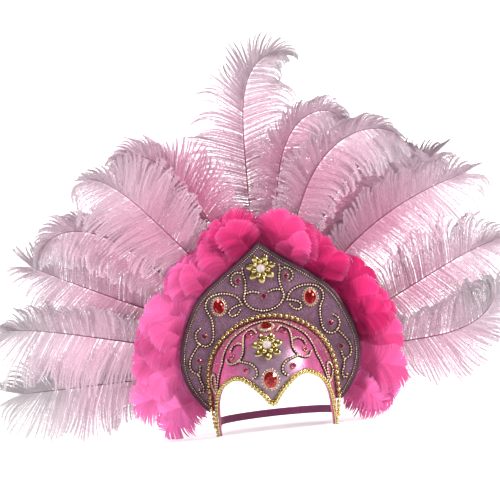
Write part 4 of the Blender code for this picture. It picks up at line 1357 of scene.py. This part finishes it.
def plume_side(plume, side, rng):
    """The barbs of one side of a plume as curves (n, k, 3), with each barb's share of the quill and how
    the quill bends there."""
    at, xs, zs, headings = quill_line(plume)
    count = sizes().plume_barbs
    share = QUILL_SHARE * 0.80 + (1 - QUILL_SHARE * 0.80) * (np.arange(count) + 0.5) / count
    share = np.clip(share + rng.normal(0, 0.0018, count), 0, 1)
    x = np.interp(share, at, xs)
    z = np.interp(share, at, zs)
    heading = np.interp(share, at, headings)
    stride = plume.length * PLUME_LENGTH / QUILL_STEPS
    turned = np.interp(share, at, np.gradient(headings) / stride)
    reach = plume.right if side > 0 else plume.left
    wide = reach * VANE_WIDTH * vane_reach(share)
    inside = turned * side
    wide = np.where(inside > 0, np.minimum(wide, 0.95 * BEND_ROOM / np.maximum(inside, 1e-6)), wide)
    bent = np.clip(inside / 8, -1, 1)
    upper = np.clip(-side * np.sin(heading), 0, 1)
    end = ease((share - 0.80) / 0.20)
    down = 1 - ease(share / 0.38)
    sweep = np.radians(74 - 12 * share + 20 * np.minimum(bent, 0) - 46 * end + 26 * down)
    length = 1.10 * wide / np.sin(np.maximum(sweep, 0.95)) * (1 + 0.09 * lock_noise(rng, count, 9))
    length = length * (1 + 0.45 * np.minimum(bent, 0))
    t = np.linspace(0, 1, BARB_STEPS)[None, :]
    bend = 0.18 + 0.14 * bent + 0.12 * lock_noise(rng, count, 30)
    hook = 0.50 * np.cos(heading) - 0.80 * upper + 0.40 * bent + 0.55 * end
    hook = hook + 0.40 * lock_noise(rng, count, 16)
    turn = bend[:, None] * t + hook[:, None] * ease((t - 0.45) / 0.55)
    angle = heading[:, None] + side * (sweep[:, None] + turn)
    fall = 0.35 * t**2.2 * ease((share[:, None] - 0.05) / 0.3)
    dx = np.sin(angle)
    dz = np.cos(angle) - fall
    size = np.hypot(dx, dz)
    stride = length[:, None] / (BARB_STEPS - 1)
    zero = np.zeros((count, 1))
    px = x[:, None] + np.concatenate([zero, np.cumsum((dx / size)[:, :-1] * stride, 1)], 1)
    pz = z[:, None] + np.concatenate([zero, np.cumsum((dz / size)[:, :-1] * stride, 1)], 1)
    curl = (0.0012 + 0.0062 * ease((share - 0.3) / 0.5)) * (1 + 0.4 * lock_noise(rng, count, 14))
    arch = 0.0022 * np.sin(math.pi * 0.8 * t) - curl[:, None] * t**2.5
    lift = 0.0014 * lock_noise(rng, count, 9)[:, None] * t
    py = quill_depth(plume, share)[:, None] + fan_depth(px, pz) + arch + lift
    curves = np.stack([px, py, pz], axis=2)
    return pulled_to_locks(curves, rng, 3, 10, 0.80, 0.36), share, bent


def plume_tone(name, out, share):
    """The colour place of a barb's point: out along the barb and share along the quill."""
    pale = PLUME_PALE.get(name, 0.0) * (1 - 0.6 * out * share)
    return np.clip(pale + 0.34 * out**2 + 0.52 * ease((share - 0.45) / 0.55), 0, 1)


def build_plume(name, plume, number):
    """One plume: a dark tapered quill and rows of fine curled barbs with their hairs."""
    rng = np.random.RandomState(700 + number)
    parts = []
    out = []
    own = []
    at, xs, zs, headings = quill_line(plume)
    fine, shade = BARB_WIDTHS[name.split("_")[1]]
    for side in (-1, 1):
        curves, share, bent = plume_side(plume, side, rng)
        curves[..., 2] = np.maximum(curves[..., 2], FLOOR_LEVEL + 0.002)
        count = len(curves)
        t = np.linspace(0, 1, BARB_STEPS)[None, :]
        widths = fine * (1 - 0.62 * t) * (1 - 0.6 * np.minimum(bent, 0))[:, None]
        widths[:, -1] = 0.00008
        parts.append(ribbons(curves, widths, rng.uniform(-0.6, 0.6, count)))
        # Painted light and painted shade: one side of each vane is lighter or darker by its heading, and
        # each part of the fan is darker by its painted shade, with a random tone for each barb.
        lit = 0.55 * (0.5 + 0.5 * side * np.sin(np.interp(share, at, headings) + 0.5)) - shade
        tone = np.clip(lit + 0.55 * rng.rand(count), 0, 1)
        far = plume_tone(name, t, share[:, None])
        out.append(np.repeat(far.reshape(-1), 2))
        own.append(np.repeat(tone, 2 * BARB_STEPS))
        points, faces, spot = barbules(curves, rng)
        parts.append((points, faces))
        far = plume_tone(name, spot, share[:, None])
        out.append(np.repeat(far.reshape(-1), 3))
        # The hairs take the same painted light and painted shade as their barbs, with a random tone of their
        # own.
        hair_tone = np.clip(lit[:, None] + 0.55 * rng.rand(*spot.shape), 0, 1)
        own.append(np.repeat(hair_tone.reshape(-1), 3))
    pick = np.arange(0, QUILL_STEPS + 1, 6)
    ys = quill_depth(plume, at) + fan_depth(xs, zs) - 0.0018
    route = [Vector((xs[i], ys[i], zs[i])) for i in pick]
    radii = [0.00130 * (1 - 0.80 * at[i]) for i in pick]
    quill = tube_arrays(route, radii, 6)
    vanes = joined(parts)
    points, faces = joined([vanes, quill])
    out = np.concatenate(out + [np.zeros(len(quill[0]))])
    own = np.concatenate(own + [np.ones(len(quill[0]))])
    mesh = mesh_from_arrays(f"{name}_feather", points, faces)
    set_attributes(mesh, out, own)
    is_quill = np.arange(len(mesh.polygons)) >= len(vanes[1])
    mesh.polygons.foreach_set("material_index", is_quill.astype(np.int32))
    add_piece(f"{name}_feather", mesh, "plume_feather", [name], "plume", "quill")


def build_plumes():
    """The fan of plumes."""
    for number, (name, plume) in enumerate(PLUMES.items()):
        build_plume(name, plume, number)


def reach_at(share, column):
    """How far the ruff reaches at a share of the half outline."""
    table = np.array(RUFF_REACH)
    return float(np.interp(share, table[:, 0], table[:, column])) * RUFF_WIDTH


def goose_feather(root, way, length, half, behind, lift, lap, loose, light, rng):
    """One broad rounded feather as ribbons: (points, faces, out, own). Root is (x, y, z).

    Its barbs run from the quill to a rounded outline. It stays back until it is past the panel's edge,
    behind metres from its root, and then swells forward by lift. One side laps over its neighbour."""
    count = 62
    steps = 9
    t = np.linspace(0, 1, steps)[None, :]
    parts = []
    out = []
    own = []
    heading = math.atan2(way.x, way.z)
    lean = rng.uniform(-0.45, 0.45)
    tilt = lap * rng.uniform(0.12, 0.34)
    cup = rng.uniform(-0.4, 1.0)
    feather_tone = rng.rand()
    for side in (-1, 1):
        u = (np.arange(count) + 0.5) / count
        start_at = length * (0.02 + 0.90 * u)
        turn = np.radians(30 + 148 * u**0.85)
        ragged = 1 + (0.032 + 0.20 * loose) * rng.normal(0, 1, count)
        end_out = half * np.sin(turn) ** 0.70 * ragged
        end_at = length * (1 - np.cos(turn)) / 2 * (1 + 0.35 * (ragged - 1))
        gap = np.hypot(end_out, end_at - start_at)
        sweep = np.radians(58 - 30 * u)
        mid_out = np.sin(sweep) * gap * 0.5
        mid_at = start_at + np.cos(sweep) * gap * 0.5
        a, b, c = (1 - t) ** 2, 2 * t * (1 - t), t**2
        across = side * (b * mid_out[:, None] + c * end_out[:, None])
        along = a * start_at[:, None] + b * mid_at[:, None] + c * end_at[:, None]
        across = across + lean * half * (along / length) ** 2
        px = root.x + np.sin(heading) * along + np.cos(heading) * across
        pz = root.z + np.cos(heading) * along - np.sin(heading) * across
        free = ease((along - behind) / (0.34 * length))
        far_out = np.clip(np.abs(across / half), 0, 1.2)
        dome = np.clip(1 - far_out**2, 0, 1) * np.clip(1.15 - (along / length) ** 3, 0, 1)
        rim = np.clip(far_out - 0.72, 0, 1) ** 2 + np.clip(along / length - 0.86, 0, 1) ** 2
        forward = lift + 0.0095 * dome + tilt * across + cup * 0.05 * rim
        py = root.y - free * forward + 0.00012 * side
        pz = np.maximum(pz, FLOOR_LEVEL + 0.001)
        stray = rng.normal(0, 0.00008 + 0.0009 * loose, count)[:, None] * t
        curves = np.stack([px, py + stray, pz], axis=2)
        curves = pulled_to_locks(curves, rng, 9, 20, 0.07 + 0.65 * loose, 0.70)
        widths = 0.0020 * (1 - 0.35 * t) * np.ones((count, 1))
        widths[:, -1] = 0.0005
        parts.append(ribbons(curves, widths, rng.uniform(-0.08, 0.08, count)))
        # The pale share also takes the painted light, so the lit parts of the ruff turn paler.
        far = light + 0.45 * t**8 + 0.25 * u[:, None] ** 8 + 0.22 * feather_tone**2 + 0.35 * loose * t
        out.append(np.repeat(np.clip(far, 0, 1).reshape(-1), 2))
        barb_tone = 0.20 * rng.rand(count) + 0.09 * lock_noise(rng, count, 6)
        # Painted shade and painted light: each feather is darker near its root, where its neighbours shade
        # it (partly also the dye), and lighter or darker by its side's painted light. The rest is a random
        # tone for each feather and barb.
        tone = (0.29 + 0.31 * feather_tone + barb_tone)[:, None]
        tone = tone + (0.60 - light) * ease((along - behind) / (0.75 * length)) + 1.1 * light - 0.35
        own.append(np.repeat(np.clip(tone, 0, 1).reshape(-1), 2))
    return (*joined(parts), np.concatenate(out), np.concatenate(own))


def build_ruff():
    """The ruff: overlapping rows of broad feathers that come out from behind the panel's edge."""
    edge = panel_edge()
    count = sizes().ruff_feathers
    for side, sign, column, seed in (("left", -1, 1, 41), ("right", 1, 2, 42)):
        rng = np.random.RandomState(seed)
        feathers = []
        for start, size, depth, lift, wide, skip in RUFF_ROWS:
            for i in range(count):
                share = min((i + start + rng.uniform(-0.22, 0.22)) / count, 1.0)
                share = max(share, 0.02)
                if rng.rand() < skip:
                    continue
                point, normal = edge_at(edge, share)
                astray = Vector((rng.uniform(-0.3, 0.3), 0, rng.uniform(-0.3, 0.3)))
                normal = (normal + astray).normalized()
                reach = reach_at(share, column) * size * rng.uniform(0.90, 1.06)
                root = point - normal * RUFF_TUCK
                place = Vector((sign * root.x, RUFF_MIDDLE + depth, root.z))
                way = Vector((sign * normal.x, 0, normal.z))
                half = RUFF_FEATHER_HALF * wide * rng.uniform(0.82, 1.12)
                loose = float(ease((share - 0.80) / 0.20)) * rng.uniform(0.2, 0.9)
                # Painted light for this place on this side of the ruff.
                light = float(np.interp(share, RUFF_PAINTED_LIGHT_AT, RUFF_PAINTED_LIGHT[side]))
                feathers.append(goose_feather(
                    place, way, reach + RUFF_TUCK, half, RUFF_TUCK + 0.002, lift, sign, loose, light, rng
                ))
        mesh = mesh_from_arrays(f"ruff_{side}_feathers", *joined([made[:2] for made in feathers]))
        out = np.concatenate([made[2] for made in feathers])
        own = np.concatenate([made[3] for made in feathers])
        set_attributes(mesh, out, own)
        add_piece(f"ruff_{side}_feathers", mesh, "ruff_feather", [f"ruff_{side}"], "ruff")


def build_elastic():
    """The band keeps the CAD node and takes a woven finish."""
    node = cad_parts["head_elastic"]
    node.data.materials.clear()
    node.data.materials.append(finish("elastic"))


def build_stage():
    """Pale floor, soft lights and the camera at the photograph's angle."""
    add_floor()
    key = add_light("key", (-1.9, -0.50, 0.30), 0.8, 44)
    key.visible_glossy = False
    add_light("window", (1.5, -0.70, 0.85), 0.58, 37)
    add_light("top", (-0.1, -0.5, 2.2), 0.8, 15)
    add_light("backdrop", (0.0, 3.4, 3.6), 3.5, 420, BACKDROP_MIDDLE)
    add_air()
    add_camera()
    bpy.context.scene.view_settings.view_transform = "Standard"


def add_floor():
    """A wide floor that curves up into a wall."""
    made, tree, shader, coords = new_material("studio_white")
    drive(tree, shader, "Base Color", noise(tree, coords, 3.0), [(0.3, (0.90,)), (0.7, (0.93,))])
    shader.inputs["Roughness"].default_value = 0.9
    bm = bmesh.new()
    start = [bm.verts.new((-6, y, z)) for y, z in stage_profile()]
    edges = [bm.edges.new(pair) for pair in zip(start[:-1], start[1:])]
    grown = bmesh.ops.extrude_edge_only(bm, edges=edges)
    verts = [v for v in grown["geom"] if isinstance(v, bmesh.types.BMVert)]
    bmesh.ops.translate(bm, verts=verts, vec=(12, 0, 0))
    mesh = mesh_of("studio_floor", bm)
    floor = bpy.data.objects.new("studio_floor", mesh)
    bpy.context.scene.collection.objects.link(floor)
    mesh.materials.append(made)


def stage_profile():
    """The floor's side view: flat, then a wide curve up into an upright wall."""
    points = [(-6.0, FLOOR_LEVEL), (4.0, FLOOR_LEVEL)]
    for i in range(1, 13):
        turn = math.pi / 2 * i / 12
        points.append((4.0 + 2 * math.sin(turn), FLOOR_LEVEL + 2 - 2 * math.cos(turn)))
    points.append((6.0, 8.0))
    return points


def add_air():
    """Even light from all sides, dimmer in reflections and brighter as the backdrop."""
    world = bpy.data.worlds.new("studio_air")
    bpy.context.scene.world = world
    world.use_nodes = True
    tree = world.node_tree
    back = tree.nodes["Background"]
    back.inputs["Color"].default_value = (1, 1, 1, 1)
    rays = add_node(tree, "ShaderNodeLightPath")
    level = math_node(tree, "MULTIPLY_ADD", rays.outputs["Is Glossy Ray"], -0.20, 0.34)
    level = math_node(tree, "MULTIPLY_ADD", rays.outputs["Is Camera Ray"], 0.60, level)
    tree.links.new(level, back.inputs["Strength"])


def add_light(name, place, size, power, target=OBJECT_MIDDLE):
    """A round soft lamp that points at a target."""
    data = bpy.data.lights.new(name, "AREA")
    data.shape = "DISK"
    data.size = size
    data.energy = power
    lamp = bpy.data.objects.new(name, data)
    bpy.context.scene.collection.objects.link(lamp)
    aim = target - Vector(place)
    lamp.rotation_euler = aim.to_track_quat("-Z", "Y").to_euler()
    lamp.location = place
    return lamp


def add_camera():
    """The camera in front, a little to the right and low, and rolled as in the photograph."""
    away = Vector((
        math.sin(CAMERA_AZIMUTH) * math.cos(CAMERA_ELEVATION),
        -math.cos(CAMERA_AZIMUTH) * math.cos(CAMERA_ELEVATION),
        math.sin(CAMERA_ELEVATION),
    ))
    right = Vector((0, 0, 1)).cross(away).normalized()
    up = away.cross(right)
    turned_right = right * math.cos(CAMERA_ROLL) - up * math.sin(CAMERA_ROLL)
    turned_up = right * math.sin(CAMERA_ROLL) + up * math.cos(CAMERA_ROLL)
    data = bpy.data.cameras.new("camera")
    data.sensor_width = 36
    data.lens = CAMERA_LENS
    data.clip_end = 50
    camera = bpy.data.objects.new("camera", data)
    bpy.context.scene.collection.objects.link(camera)
    place = CAMERA_AIM + away * CAMERA_DISTANCE
    camera.matrix_world = axes_matrix(turned_right, turned_up, away, place)
    bpy.context.scene.camera = camera


class HEADDRESS_OT_stage(bpy.types.Operator):
    """Pale floor, soft lights and camera"""

    bl_idname = "headdress.stage"
    bl_label = "Stage"

    def execute(self, context):
        build_stage()
        return {"FINISHED"}


class HEADDRESS_OT_cap(bpy.types.Operator):
    """The satin cap over the forehead"""

    bl_idname = "headdress.cap"
    bl_label = "Satin Cap"

    def execute(self, context):
        build_cap()
        return {"FINISHED"}


class HEADDRESS_OT_crest_panel(bpy.types.Operator):
    """The glitter board and its rolled edge"""

    bl_idname = "headdress.crest_panel"
    bl_label = "Crest Panel"

    def execute(self, context):
        build_crest_panel()
        return {"FINISHED"}


class HEADDRESS_OT_ball_chains(bpy.types.Operator):
    """The fine ball chains on panel and cap"""

    bl_idname = "headdress.ball_chains"
    bl_label = "Ball Chains"

    def execute(self, context):
        build_ball_chains()
        return {"FINISHED"}


class HEADDRESS_OT_arc_beads(bpy.types.Operator):
    """The large gold beads round the cap"""

    bl_idname = "headdress.arc_beads"
    bl_label = "Arc Beads"

    def execute(self, context):
        build_arc_beads()
        return {"FINISHED"}


class HEADDRESS_OT_hem_braid(bpy.types.Operator):
    """The gold braid along the hem"""

    bl_idname = "headdress.hem_braid"
    bl_label = "Hem Braid"

    def execute(self, context):
        build_hem_braid()
        return {"FINISHED"}


class HEADDRESS_OT_oval_stones(bpy.types.Operator):
    """The four red oval stones"""

    bl_idname = "headdress.oval_stones"
    bl_label = "Oval Stones"

    def execute(self, context):
        build_oval_stones()
        return {"FINISHED"}


class HEADDRESS_OT_round_stones(bpy.types.Operator):
    """The small pink and wine stones"""

    bl_idname = "headdress.round_stones"
    bl_label = "Round Stones"

    def execute(self, context):
        build_round_stones()
        return {"FINISHED"}


class HEADDRESS_OT_flowers(bpy.types.Operator):
    """The two gold flowers with their pearls"""

    bl_idname = "headdress.flowers"
    bl_label = "Flowers"

    def execute(self, context):
        build_flowers()
        return {"FINISHED"}


class HEADDRESS_OT_ruff(bpy.types.Operator):
    """The ruff of broad feathers"""

    bl_idname = "headdress.ruff"
    bl_label = "Feather Ruff"

    def execute(self, context):
        build_ruff()
        return {"FINISHED"}


class HEADDRESS_OT_plumes(bpy.types.Operator):
    """The fourteen ostrich plumes"""

    bl_idname = "headdress.plumes"
    bl_label = "Plumes"

    def execute(self, context):
        build_plumes()
        return {"FINISHED"}


class HEADDRESS_OT_elastic(bpy.types.Operator):
    """The woven band behind the head"""

    bl_idname = "headdress.elastic"
    bl_label = "Elastic"

    def execute(self, context):
        build_elastic()
        return {"FINISHED"}


OPERATORS = (
    HEADDRESS_OT_stage,
    HEADDRESS_OT_cap,
    HEADDRESS_OT_crest_panel,
    HEADDRESS_OT_ball_chains,
    HEADDRESS_OT_arc_beads,
    HEADDRESS_OT_hem_braid,
    HEADDRESS_OT_oval_stones,
    HEADDRESS_OT_round_stones,
    HEADDRESS_OT_flowers,
    HEADDRESS_OT_ruff,
    HEADDRESS_OT_plumes,
    HEADDRESS_OT_elastic,
)


class HEADDRESS_PT_panel(bpy.types.Panel):
    """Lists the headdress's builders"""

    bl_label = "Headdress"
    bl_idname = "HEADDRESS_PT_panel"
    bl_space_type = "VIEW_3D"
    bl_region_type = "UI"
    bl_category = "Headdress"

    def draw(self, context):
        column = self.layout.column()
        for made in OPERATORS:
            column.operator(made.bl_idname)
        for group in (context.scene.headdress_sizes, context.scene.headdress_colours):
            for key in group.__annotations__:
                column.prop(group, key)


CLASSES = (HeaddressSizes, HeaddressColours, *OPERATORS, HEADDRESS_PT_panel)


def register():
    """Adds the classes and the two groups of values."""
    for made in CLASSES:
        bpy.utils.register_class(made)
    bpy.types.Scene.headdress_sizes = PointerProperty(type=HeaddressSizes)
    bpy.types.Scene.headdress_colours = PointerProperty(type=HeaddressColours)


def unregister():
    """Takes them away again."""
    del bpy.types.Scene.headdress_colours
    del bpy.types.Scene.headdress_sizes
    for made in reversed(CLASSES):
        bpy.utils.unregister_class(made)


def main():
    """Builds the whole headdress."""
    register()
    bpy.ops.headdress.stage()
    bpy.ops.headdress.cap()
    bpy.ops.headdress.crest_panel()
    bpy.ops.headdress.ball_chains()
    bpy.ops.headdress.arc_beads()
    bpy.ops.headdress.hem_braid()
    bpy.ops.headdress.oval_stones()
    bpy.ops.headdress.round_stones()
    bpy.ops.headdress.flowers()
    bpy.ops.headdress.ruff()
    bpy.ops.headdress.plumes()
    bpy.ops.headdress.elastic()


if __name__ == "__main__":
    main()
